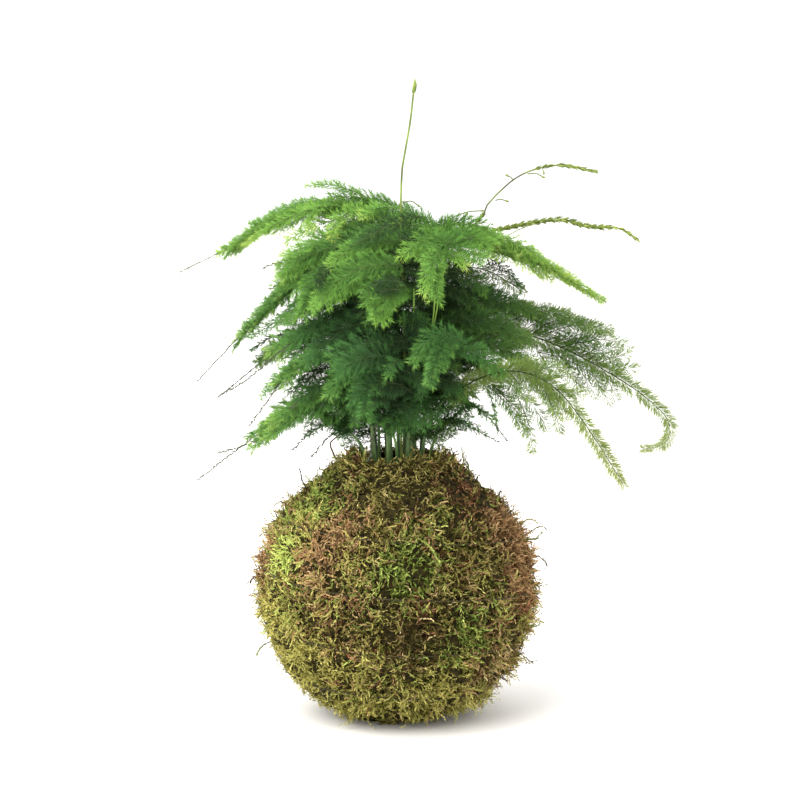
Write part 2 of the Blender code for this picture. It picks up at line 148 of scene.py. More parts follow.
def unit(vectors):
    return vectors / np.maximum(np.linalg.norm(vectors, axis=-1, keepdims=True), 1e-12)


def across(ways, rng):
    """For each direction, two more at right angles to it and to each other, turned at random."""
    first = unit(np.cross(ways, unit(rng.normal(size=ways.shape))))
    return first, np.cross(ways, first)


def swung(ways, towards, angle):
    """Each direction turned by its angle towards another at right angles to it."""
    return np.cos(angle)[:, None] * ways + np.sin(angle)[:, None] * towards


def square_to(vectors, ways):
    """The part of each vector at right angles to its direction, at length 1."""
    return unit(vectors - (vectors * ways).sum(axis=1, keepdims=True) * ways)


def palette_spots(*pairs):
    """The palette places of the points of items, from one (age, tone) pair for each point."""
    return np.stack([np.stack(np.broadcast_arrays(*pair), axis=1) for pair in pairs], axis=1)


def headings(line):
    """The direction of a line at each of its points."""
    return unit(np.gradient(line, axis=0))


def waves(points, size, seed):
    """A smooth random field over the points, about -1 to 1, whose lumps are about size across."""
    rng = np.random.default_rng(seed)
    total = np.zeros(len(points))
    for _ in range(9):
        turn = unit(rng.normal(size=3)) * 2 * math.pi / (size * rng.uniform(0.7, 1.5))
        total += np.sin(points @ turn + rng.uniform(0, 2 * math.pi))
    return total / 3


# ---------------------------------------------------------------- meshes


class Growth:
    """Leaves, needles and twigs gathered as arrays, which become one mesh."""

    def __init__(self):
        self.points, self.faces, self.palette, self.normals, self.count = [], [], [], [], 0

    def add(self, points, faces, palette, normals=None):
        """points (n, p, 3), faces (f, 3) of one item, palette (n, p, 2), normals (n, 3) to shade with."""
        n, p = points.shape[:2]
        given = np.zeros((n, 3)) if normals is None else normals
        self.normals.append(np.repeat(given, p, axis=0))
        starts = self.count + np.arange(n)[:, None, None] * p
        self.faces.append((faces[None] + starts).reshape(-1, 3))
        self.points.append(points.reshape(-1, 3))
        self.palette.append(np.broadcast_to(palette, (n, p, 2)).reshape(-1, 2))
        self.count += n * p

    def slivers(self, foot, way, facing, length, width, age, tone, normals=None):
        """Flat pointed needles from foot along way, turned so that their flat side faces along facing."""
        side = unit(np.cross(way, facing)) * width / 2
        points = np.stack([foot - side, foot + side, foot + length[:, None] * way], axis=1)
        spots = palette_spots((age, tone), (age + 0.004, tone + 0.014), (age + 0.05, tone + 0.004))
        self.add(points, np.array(((0, 1, 2),)), spots, normals)

    def lozenges(self, foot, way, facing, length, width, age, tone, normals=None):
        """Flat needles that are widest halfway."""
        side = unit(np.cross(way, facing)) * width / 2
        middle = foot + 0.5 * length[:, None] * way
        points = np.stack([foot, middle - side, middle + side, foot + length[:, None] * way], axis=1)
        spots = palette_spots((age, tone), (age + 0.02, tone + 0.01), (age + 0.02, tone - 0.004),
                              (age + 0.05, tone + 0.002))
        self.add(points, np.array(((0, 2, 1), (1, 2, 3))), spots, normals)

    def leaves(self, foot, way, out, length, width, age, tone):
        """Folded pointed leaves. out is the direction that their upper face leans to."""
        side = np.cross(way, out)
        middle = foot + 0.42 * length[:, None] * way + 0.12 * length[:, None] * out
        left, right = middle - 0.5 * width[:, None] * side, middle + 0.5 * width[:, None] * side
        points = np.stack([foot, left, foot + length[:, None] * way, right], axis=1)
        spots = palette_spots((age, tone), (age + 0.02, tone - 0.006), (age + 0.06, tone),
                              (age + 0.02, tone + 0.006))
        self.add(points, np.array(((0, 1, 2), (0, 2, 3))), spots)

    def tube(self, path, radii, sides, age, tone):
        """A closed tube along path. radii and age are one value, or one for each point of path."""
        count = len(path)
        ways = headings(path)
        guide = np.array((1.0, 0, 0)) if abs(ways[0, 2]) > 0.9 else UP
        first = unit(np.cross(ways, guide))
        second = np.cross(ways, first)
        radii = np.broadcast_to(radii, count)[:, None]
        around = [
            path + radii * (math.cos(a) * first + math.sin(a) * second)
            for a in np.arange(sides) * 2 * math.pi / sides
        ]
        points = np.stack(around, axis=1).reshape(1, count * sides, 3)
        faces = []
        for ring in range(count - 1):
            for j in range(sides):
                a, b = ring * sides + j, ring * sides + (j + 1) % sides
                faces += [(a, b, b + sides), (a, b + sides, a + sides)]
        last = (count - 1) * sides
        for j in range(1, sides - 1):
            faces += [(0, j + 1, j), (last, last + j, last + j + 1)]
        spread = 0.012 * np.arange(sides)
        ages = np.broadcast_to(age, count)[:, None] + 0.3 * spread
        spots = np.stack(np.broadcast_arrays(ages, tone + spread), axis=-1)
        self.add(points, np.array(faces), spots.reshape(1, count * sides, 2))

    def finish(self, name, material):
        """One smooth-shaded object, with its palette as the UV map that the export keeps."""
        points, faces, palette = (np.concatenate(rows) for rows in (self.points, self.faces, self.palette))
        mesh = bpy.data.meshes.new(name)
        mesh.vertices.add(len(points))
        mesh.vertices.foreach_set("co", points.astype(np.float32).ravel())
        mesh.loops.add(faces.size)
        mesh.loops.foreach_set("vertex_index", faces.astype(np.int32).ravel())
        mesh.polygons.add(len(faces))
        mesh.polygons.foreach_set("loop_start", np.arange(0, faces.size, 3, dtype=np.int32))
        uv = mesh.uv_layers.new(name="OFBake")
        uv.data.foreach_set("uv", palette.clip(0.001, 0.999)[faces].astype(np.float32).ravel())
        mesh.update(calc_edges=True)
        mesh.validate()
        mesh.shade_smooth()
        # A zero normal keeps the face's own.
        mesh.normals_split_custom_set_from_vertices(np.concatenate(self.normals))
        mesh.materials.append(material)
        made = bpy.data.objects.new(name, mesh)
        bpy.context.scene.collection.objects.link(made)
        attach(made, "root")
        print(f"{name}: {len(faces)} triangles")
        return made


# ---------------------------------------------------------------- materials


def new_material(name):
    made = bpy.data.materials.new(name)
    made.use_nodes = True
    tree = made.node_tree
    shader = tree.nodes["Principled BSDF"]
    return made, tree, shader


def ramp(tree, source, stops):
    """A colour ramp fed by source. stops are (place, colour)."""
    node = tree.nodes.new("ShaderNodeValToRGB")
    elements = node.color_ramp.elements
    while len(elements) > 1:
        elements.remove(elements[-1])
    elements[0].position, elements[0].color = stops[0]
    for place, colour in stops[1:]:
        elements.new(place).color = colour
    tree.links.new(source, node.inputs["Fac"])
    return node.outputs["Color"]


def palette_axes(tree):
    """The two axes of the palette: age from dark to young, and tone."""
    where = tree.nodes.new("ShaderNodeUVMap")
    where.uv_map = "OFBake"
    parts = tree.nodes.new("ShaderNodeSeparateXYZ")
    tree.links.new(where.outputs["UV"], parts.inputs["Vector"])
    return parts.outputs["X"], parts.outputs["Y"]


def mixed(tree, factor, first, second, kind="MIX"):
    node = tree.nodes.new("ShaderNodeMix")
    node.data_type = "RGBA"
    node.blend_type = kind
    for value, socket in ((factor, node.inputs[0]), (first, node.inputs[6]), (second, node.inputs[7])):
        if isinstance(value, bpy.types.NodeSocket):
            tree.links.new(value, socket)
        else:
            socket.default_value = value
    return node.outputs[2]


def noise_at(tree, vector, size, detail):
    """Noise whose lumps are about size across."""
    noise = tree.nodes.new("ShaderNodeTexNoise")
    noise.inputs["Scale"].default_value = 1 / size
    noise.inputs["Detail"].default_value = detail
    tree.links.new(vector, noise.inputs["Vector"])
    return noise.outputs["Fac"]


def surface_detail(tree, shader, size, rough, bump):
    """Roughness that varies between the two values of rough, and fine bumps, both size across."""
    place = tree.nodes.new("ShaderNodeTexCoord")
    noise = noise_at(tree, place.outputs["Object"], size, 4)
    span = tree.nodes.new("ShaderNodeMapRange")
    span.inputs["To Min"].default_value, span.inputs["To Max"].default_value = rough
    tree.links.new(noise, span.inputs["Value"])
    tree.links.new(span.outputs["Result"], shader.inputs["Roughness"])
    height = tree.nodes.new("ShaderNodeBump")
    height.inputs["Strength"].default_value = bump
    height.inputs["Distance"].default_value = 0.2 * MM
    tree.links.new(noise, height.inputs["Height"])
    tree.links.new(height.outputs["Normal"], shader.inputs["Normal"])


def moss_material():
    made, tree, shader = new_material("moss")
    age, family = palette_axes(tree)
    low = ramp(tree, family, [(place, srgb(*dark)) for place, (dark, _) in MOSS_COLOURS.items()])
    high = ramp(tree, family, [(place, srgb(*bright)) for place, (_, bright) in MOSS_COLOURS.items()])
    tree.links.new(mixed(tree, age, low, high), shader.inputs["Base Color"])
    surface_detail(tree, shader, 1.2 * MM, (0.66, 0.92), 0.3)
    shader.inputs["Specular IOR Level"].default_value = 0.12
    return made


def needle_material(name, stops, colours):
    """Needles whose colour runs with age through colours, a little yellower or bluer by tone."""
    made, tree, shader = new_material(name)
    age, tone = palette_axes(tree)
    plain = ramp(tree, age, [(place, srgb(*colour)) for place, colour in zip(stops, colours)])
    tint = ramp(tree, tone, ((0.0, (0.88, 0.94, 1.0, 1)), (0.5, (1, 1, 1, 1)), (1.0, (1.12, 1.04, 0.86, 1))))
    tree.links.new(mixed(tree, 1.0, plain, tint, "MULTIPLY"), shader.inputs["Base Color"])
    surface_detail(tree, shader, 1.5 * MM, (0.48, 0.7), 0.15)
    shader.inputs["Specular IOR Level"].default_value = 0.2
    return made


def grained_material(name, dark, light, size, stretch, rough, bump):
    """For a CAD piece: two colours mixed by noise that is drawn out along Z by stretch."""
    made, tree, shader = new_material(name)
    place = tree.nodes.new("ShaderNodeTexCoord")
    shape = tree.nodes.new("ShaderNodeMapping")
    shape.inputs["Scale"].default_value = (1, 1, 1 / stretch)
    tree.links.new(place.outputs["Object"], shape.inputs["Vector"])
    noise = noise_at(tree, shape.outputs["Vector"], size, 5)
    colour = ramp(tree, noise, ((0.32, dark), (0.68, light)))
    tree.links.new(colour, shader.inputs["Base Color"])
    surface_detail(tree, shader, size, rough, bump)
    return made


# ---------------------------------------------------------------- reading the frame


def welded(node):
    """A CAD node's points without doubles, with its edges and triangles as rows of point numbers."""
    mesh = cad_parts[node].data
    mesh.calc_loop_triangles()
    co = np.zeros(len(mesh.vertices) * 3)
    mesh.vertices.foreach_get("co", co)
    co = co.reshape(-1, 3)
    same, number = np.unique(np.round(co / (0.01 * MM)).astype(int), axis=0, return_inverse=True)
    number = number.reshape(-1)
    points = np.zeros((len(same), 3))
    points[number] = co
    edges = np.zeros(len(mesh.edges) * 2, int)
    mesh.edges.foreach_get("vertices", edges)
    triangles = np.zeros(len(mesh.loop_triangles) * 3, int)
    mesh.loop_triangles.foreach_get("vertices", triangles)
    return points, number[edges.reshape(-1, 2)], number[triangles.reshape(-1, 3)]


def rings(node, start, sides):
    """The cross-sections of a CAD stem or blade, in order from the end nearest to start."""
    points, edges, _ = welded(node)
    level = np.full(len(points), -1)
    level[np.argsort(np.linalg.norm(points - start, axis=1))[:sides]] = 0
    for step in range(len(points)):
        on = level == step
        beside = np.concatenate([edges[on[edges[:, 0]], 1], edges[on[edges[:, 1]], 0]])
        beside = np.unique(beside[level[beside] < 0])
        if not len(beside):
            break
        level[beside] = step + 1
    return [points[level == step] for step in range(level.max() + 1)]


def centres(cuts):
    return np.array([cut.mean(axis=0) for cut in cuts])


def spaced(rows, step):
    """A smooth curve through rows (Catmull-Rom over their first three columns), cut at even steps."""
    ends = np.vstack([2 * rows[0] - rows[1], rows, 2 * rows[-1] - rows[-2]])
    fine = []
    for a, b, c, d in zip(ends, ends[1:], ends[2:], ends[3:]):
        for t in np.arange(8) / 8:
            fine.append(0.5 * (2 * b + (c - a) * t + (2 * a - 5 * b + 4 * c - d) * t**2
                               + (3 * b - a - 3 * c + d) * t**3))
    fine = np.vstack([*fine, rows[-1:]])
    along = np.concatenate([[0], np.cumsum(np.linalg.norm(np.diff(fine[:, :3], axis=0), axis=1))])
    cuts = np.linspace(0, along[-1], max(3, round(along[-1] / step) + 1))
    return np.stack([np.interp(cuts, along, column) for column in fine.T], axis=1)


def curve(points, step):
    """A smooth curve through listed points, which are in mm."""
    return spaced(np.array(points, float) * MM, step)


def blade(name):
    """A CAD blade as (midrib points, side directions, half widths) at even steps, and its stem's midline."""
    points = welded(f"stem_{name}")[0]
    foot = points[np.argmin(points[:, 2])]
    stem = spaced(centres(rings(f"stem_{name}", foot, STEM_SIDES)), 2 * MM)
    end = stem[-1]
    cuts = rings(f"frond_{name}", end, BLADE_SIDES)
    sides, last = [], None
    for cut in cuts:
        gaps = np.linalg.norm(cut[:, None] - cut[None], axis=2)
        a, b = np.unravel_index(np.argmax(gaps), gaps.shape)
        side = cut[b] - cut[a]
        if last is not None and side @ last < 0:
            side = -side
        sides.append(side / 2)
        last = side
    rows = spaced(np.hstack([centres(cuts), np.array(sides)]), 1 * MM)
    rows[0, :3] = end
    return rows[:, :3], unit(rows[:, 3:]), np.linalg.norm(rows[:, 3:], axis=1), stem


# ---------------------------------------------------------------- moss


def outer_faces(node):
    """The triangles of a CAD moss piece that face away from the ball's middle, with their normals."""
    points, _, triangles = welded(node)
    corners = points[triangles]
    normals = np.cross(corners[:, 1] - corners[:, 0], corners[:, 2] - corners[:, 0])
    areas = np.linalg.norm(normals, axis=1) / 2
    normals = unit(normals)
    away = unit(corners.mean(axis=1) - BALL_CENTRE)
    keep = ((normals * away).sum(axis=1) > 0.45) & (areas > 0)
    return corners[keep], normals[keep], areas[keep]


def scattered(corners, areas, count, rng):
    """count points spread evenly over triangles, with the number of the triangle that each is on."""
    reach = np.cumsum(areas)
    which = np.searchsorted(reach, (np.arange(count) + rng.random(count)) / count * reach[-1])
    which = which.clip(0, len(areas) - 1)
    a, b = rng.random((2, count))
    swap = a + b > 1
    a[swap], b[swap] = 1 - a[swap], 1 - b[swap]
    first, second, third = (corners[which, i] for i in range(3))
    return first + a[:, None] * (second - first) + b[:, None] * (third - first), which


def moss_family(points, rng):
    """The colour family of the moss at each point, from the patches and a slow random field."""
    names = (DARK, RED, BROWN, TAN, OLIVE, YELLOW, GREEN, LIME)
    base = {DARK: 0.45, RED: -0.6, BROWN: 0.4, TAN: 0.25, OLIVE: 1.2, YELLOW: 0.5, GREEN: 0.45, LIME: -0.7}
    score = np.stack([base[n] + 0.75 * waves(points, 34 * MM, 70 + i) for i, n in enumerate(names)], axis=1)
    low = ((BALL_CENTRE[2] - points[:, 2]) / BALL_RADIUS).clip(0, 1)
    score[:, names.index(YELLOW)] += 1.2 * low
    # Yellower and limier to the left and browner to the right: partly the moss's own colours, partly painted
    # light from the left and painted shade on the right.
    left = (-points[:, 0] / BALL_RADIUS).clip(0, 1)
    score[:, names.index(LIME)] += 0.9 * left
    score[:, names.index(YELLOW)] += 0.8 * left
    score[:, names.index(BROWN)] += 0.7 * (points[:, 0] / BALL_RADIUS).clip(0, 1)
    for family, *place, radius, strength in MOSS_PATCHES:
        far = np.linalg.norm(points - np.array(place) * MM, axis=1) / (radius * MM)
        score[:, names.index(family)] += strength * np.exp(-0.5 * far**2)
    score += 0.55 * rng.gumbel(size=score.shape)
    return np.array(names)[np.argmax(score, axis=1)]


def painted_moss_light(points):
    """How much light or shade is painted on the moss at each point: slow lumps of it, and the listed
    patches.
    """
    painted = 0.1 * waves(points, 13 * MM, 61)
    for *place, radius, strength in PAINTED_MOSS_LIGHT:
        far = np.linalg.norm(points - np.array(place) * MM, axis=1) / (radius * MM)
        painted += strength * np.exp(-0.5 * far**2)
    return painted


def grow_moss(growth, feet, normals, family, length, lift, rng):
    """Feathery shoots from feet: each leaves at a slant, then bends round and over as it goes out."""
    n = len(feet)
    combed = np.stack([waves(feet, 15 * MM, 40 + axis) for axis in range(3)], axis=1)
    combed = combed + 0.55 * rng.normal(size=(n, 3))
    second = unit(np.cross(normals, combed))
    first = np.cross(second, normals)
    steps = np.arange(SHOOT_STEPS + 1) / SHOOT_STEPS
    rise = rng.uniform(0.0, 0.95, n)[:, None] * lift[:, None] + rng.uniform(-1.2, 0.7, n)[:, None] * steps
    turn = rng.uniform(-2.6, 2.6, n)[:, None] * steps
    level = np.cos(turn)[..., None] * first[:, None] + np.sin(turn)[..., None] * second[:, None]
    flat = np.cos(rise)[..., None] * level
    ways = flat + np.sin(rise)[..., None] * normals[:, None]
    moves = ways[:, :-1] * (length / SHOOT_STEPS)[:, None, None]
    path = feet[:, None] + np.concatenate([np.zeros((n, 1, 3)), np.cumsum(moves, axis=1)], axis=1)
    path[..., 2] = np.maximum(path[..., 2], 0.5 * MM)

    m = SHOOT_LEAVES
    at = (np.arange(m) + 0.3) / m * SHOOT_STEPS
    low = at.astype(int)
    part = (at - low)[None, :, None]
    foot = path[:, low] * (1 - part) + path[:, low + 1] * part
    way = unit(ways[:, low] * (1 - part) + ways[:, low + 1] * part)
    side, other = across(way.reshape(-1, 3), rng)
    turns = np.tile(np.arange(m) * LEAF_TURN, n)
    out = swung(side, other, turns)
    way, foot = way.reshape(-1, 3), foot.reshape(-1, 3)
    spread = LEAF_SPREAD * rng.uniform(0.6, 1.3, len(way)) * np.tile(1 - 0.5 * at / SHOOT_STEPS, n)
    leaf_way = swung(way, out, spread)
    size = np.repeat((length / (6 * MM)).clip(0.75, 1.15), m)
    size = size * np.tile(1.05 - 0.4 * (at / SHOOT_STEPS) ** 2, n)
    upper = square_to(out, leaf_way)
    # Each shoot's painted light and shade, with a random tone of its own.
    painted_light_and_tone = np.repeat(painted_moss_light(feet) + rng.uniform(-0.34, 0.4, n), m)
    age = np.tile(0.05 + 0.75 * at / SHOOT_STEPS, n) + painted_light_and_tone + rng.uniform(-0.06, 0.06, n * m)
    tone = np.repeat(family + rng.uniform(-FAMILY_SPREAD, FAMILY_SPREAD, n), m)
    tone = tone + rng.uniform(-0.01, 0.01, n * m)
    foot[:, 2] = np.maximum(foot[:, 2], 0.3 * MM)
    growth.leaves(foot, leaf_way, upper, LEAF_LENGTH * size, LEAF_WIDTH * size,
                  age.clip(0, 0.93), tone.clip(0.1, 0.985))


def moss_ground(growth, corners, normals, rng):
    """The dark tangle under the shoots: the CAD faces cut small and pushed in and out."""
    p, q, r = corners[:, 0], corners[:, 1], corners[:, 2]

    def spot(i, j):
        return p + (q - p) * (i / GROUND_CUTS) + (r - p) * (j / GROUND_CUTS)

    split = []
    for i in range(GROUND_CUTS):
        for j in range(GROUND_CUTS - i):
            split.append(np.stack([spot(i, j), spot(i + 1, j), spot(i, j + 1)], axis=1))
            if i + j < GROUND_CUTS - 1:
                split.append(np.stack([spot(i + 1, j), spot(i + 1, j + 1), spot(i, j + 1)], axis=1))
    faces = np.concatenate(split)
    flat = faces.reshape(-1, 3)
    away = unit(flat - BALL_CENTRE)
    push = (waves(flat, 4 * MM, 11) + 0.7 * waves(flat, 1.8 * MM, 12)) * 0.55 * MM - 0.7 * MM
    moved = flat + push[:, None] * away
    moved[:, 2] = np.maximum(moved[:, 2], 0)
    light = 0.3 + 0.3 * waves(faces.mean(axis=1), 3 * MM, 13).clip(-1, 1)
    spots = palette_spots((light, 0.02), (light + 0.03, 0.03), (light, 0.05))
    growth.add(moved.reshape(-1, 3, 3), np.array(((0, 1, 2),)), spots)


def moss_piece(node, seed, material):
    """One CAD moss piece as living moss: dark ground with feathery shoots all over it."""
    rng = np.random.default_rng(seed)
    corners, normals, areas = outer_faces(node)
    growth = Growth()
    moss_ground(growth, corners, normals, rng)
    thinning = BASE_THINNING if node == "moss_base" else 1
    count = round(areas.sum() / MM**2 * SHOOTS_PER_MM2 * thinning)
    feet, which = scattered(corners, areas, count, rng)
    away = unit(feet - BALL_CENTRE)
    slant = unit(away + 0.25 * rng.normal(size=away.shape))
    length = rng.gamma(7, 0.78, count).clip(2.6, 11) * MM
    clump = waves(feet, 12 * MM, 62).clip(-1, 1)
    length *= 1 + 0.22 * clump
    depth = FOOT_DEPTH - 0.7 * MM * clump
    shoulder = ((feet[:, 2] - 84 * MM) / (12 * MM)).clip(0, 1)
    shoulder[np.hypot(feet[:, 0], feet[:, 1]) < 26 * MM] = 0
    corner = ((-feet[:, 0] - 14 * MM) / (22 * MM)).clip(0, 1)
    corner = corner * ((46 * MM - feet[:, 2]) / (20 * MM)).clip(0, 1)
    lift = 1 - 0.55 * shoulder - 0.6 * corner
    length *= 1 - 0.2 * shoulder - 0.25 * corner
    under = feet[:, 2] < 6 * MM
    length[under] *= 0.6
    lift[under] *= 0.4
    grow_moss(growth, feet - depth[:, None] * away, slant, moss_family(feet, rng), length, lift, rng)
    made = growth.finish(f"living_{node}", material)
    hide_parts(node)


# Moss strands that stand off the ball: points in mm
LOOSE_STRANDS = (
    ((50, -6, 76), (57.4, -8, 80.6), (61.6, -9, 83.2), (64, -9, 82)),
    ((51, -4, 83), (57.6, -5, 85.6), (60.8, -5, 83.6)),
    ((52, -8, 78), (58.4, -10, 77.6), (62, -11, 80.4)),
    ((54, -2, 69), (60, -2, 69.4), (64, -2, 67), (65, -2, 64.6)),
    ((53, -8, 40), (58, -9, 39.6), (61.6, -10, 40.6)),
    ((50, -10, 30), (55, -11, 27), (58, -12, 24.6)),
    ((26, -2, 104), (28.8, -3, 110), (28.4, -3, 115.6)),
    ((29, -4, 102), (31, -5, 107.4), (29.4, -5, 111.4)),
    ((-36, -4, 95), (-39.6, -6, 101.4), (-41, -6, 106.6)),
    ((-34, -8, 97), (-37, -10, 103), (-38.6, -10, 104.8)),
    ((-44, -4, 89), (-49, -6, 93.4), (-51.6, -6, 92)),
    ((-50, -6, 78), (-56, -8, 80.4), (-58.6, -8, 78.6)),
    ((-52, -8, 34), (-57.6, -9, 31), (-60, -9, 27)),
    ((-50, -4, 60), (-60, -4, 60.6), (-63, -4, 57.6)),
    ((10, -50, 84), (14, -58, 82), (18, -60, 76)),
    ((24, -48, 70), (30, -55, 74), (33, -55, 80)),
)


def loose_strands(material):
    """The strands of LOOSE_STRANDS, each a thin stem with small leaves."""
    rng = np.random.default_rng(150)
    growth = Growth()
    for index, rows in enumerate(LOOSE_STRANDS):
        line = curve(rows, 0.7 * MM)
        count = len(line)
        family = (OLIVE, YELLOW, GREEN, DARK, LIME)[index % 5]
        radii = np.linspace(0.3, 0.12, count) * MM
        growth.tube(line, radii, 4, 0.3, family)
        line = np.repeat(line, 2, axis=0)
        ways = unit(np.gradient(line, axis=0) + 1e-6 * UP)
        out, _ = across(ways, rng)
        ways = unit(ways + 0.5 * out)
        out = square_to(out, ways)
        size = rng.uniform(0.7, 1.0, len(line))
        growth.leaves(line, ways, out, LEAF_LENGTH * size, 0.9 * LEAF_WIDTH * size,
                      rng.uniform(0.05, 0.88, len(line)), family)
    made = growth.finish("loose_moss_strands", material)


# ---------------------------------------------------------------- fern

# How each frond looks: palette, youth of its needles (0 dark, 1 pale), needle length in mm, reach of its
# side plumes beside the CAD blade's half width, gap between them in mm, their lean off the midrib at its
# foot and at its tip in degrees, droop, part of the tip without side plumes, bare part of the tip, and how
# far the middle of the spray lies under the CAD midrib in mm
FROND_LOOKS = {
    "upper_left": ("fresh", 0.42, 3.8, 0.4, 3.8, 36, 24, 0.24, 0.2, 0.16, 2.6),
    "upper_left_front": ("fresh", 0.26, 3.8, 0.5, 4.4, 42, 26, 0.4, 0.0, 0.0, 0),
    "upper_front": ("fresh", 0.3, 3.8, 0.5, 4.4, 44, 28, 0.45, 0.0, 0.0, 0),
    "upper_front_right": ("fresh", 0.34, 3.8, 0.5, 4.4, 44, 28, 0.45, 0.0, 0.0, 0),
    "upper_right": ("fresh", 0.58, 3.8, 0.36, 4.2, 34, 20, 0.1, 0.06, 0.03, -0.5),
    "upper_right_back": ("olive", 0.34, 4.8, 0.4, 12, 48, 32, 0.3, 0.0, 0.0, 0),
    "upper_back": ("fresh", 0.36, 3.8, 0.6, 8.0, 52, 26, 0.8, 0.0, 0.0, 0),
    "upper_left_back": ("fresh", 0.36, 3.8, 0.65, 7.0, 52, 26, 0.8, 0.0, 0.0, 0),
    "mid_left": ("green", 0.5, 3.8, 0.3, 4.2, 34, 20, 0.12, 0.32, 0.28, 0.4),
    "mid_left_back": ("green", 0.48, 3.8, 0.42, 4.8, 36, 22, 0.15, 0.4, 0.36, 0),
    "mid_left_front": ("green", 0.46, 3.8, 0.26, 4.4, 32, 18, 0.05, 0.38, 0.34, -1),
    "mid_front": ("green", 0.24, 3.8, 0.5, 4.6, 44, 28, 0.4, 0.0, 0.0, 0),
    "mid_front_right": ("green", 0.34, 3.8, 0.55, 4.6, 44, 28, 0.4, 0.0, 0.0, 0),
    "mid_right": ("olive", 0.46, 5.4, 0.8, 7.0, 56, 44, 0.12, 0.4, 0.0, 0),
    "right_drooping": ("olive", 0.5, 5.4, 0.75, 6.0, 50, 38, 0.28, 0.42, 0.0, 0),
    "mid_right_back": ("olive", 0.36, 4.8, 0.45, 8.0, 46, 32, 0.2, 0.3, 0.0, 3),
    "mid_back": ("green", 0.5, 3.8, 0.65, 8.0, 52, 26, 0.8, 0.0, 0.0, 0),
    "lower_left": ("green", 0.54, 3.8, 0.36, 4.2, 30, 18, 0.05, 0.46, 0.44, -2.5),
    "lower_front": ("green", 0.2, 3.6, 0.12, 5.0, 36, 28, 0.2, 0.5, 0.5, 0),
    "lower_right": ("green", 0.4, 3.2, 0.0, 12.0, 40, 30, 0.2, 0.5, 0.3, 0),
    "lower_back": ("green", 0.46, 3.6, 0.65, 8.0, 50, 26, 0.6, 0.1, 0.1, 0),
}
# Fronds with no branchlets, whose needles stand on the ribs, with their number for each mm of rib. LOOSE
# are those of them whose PLUMES are brushes too
BRUSHES = {"mid_right": 10.5, "right_drooping": 10, "mid_right_back": 5.5, "upper_right_back": 5}
LOOSE = ("mid_right", "right_drooping")
# Fronds under which the plant is open
OPEN_BELOW = ("mid_right", "right_drooping", "lower_right", "mid_left", "mid_left_back", "mid_left_front",
              "lower_left")

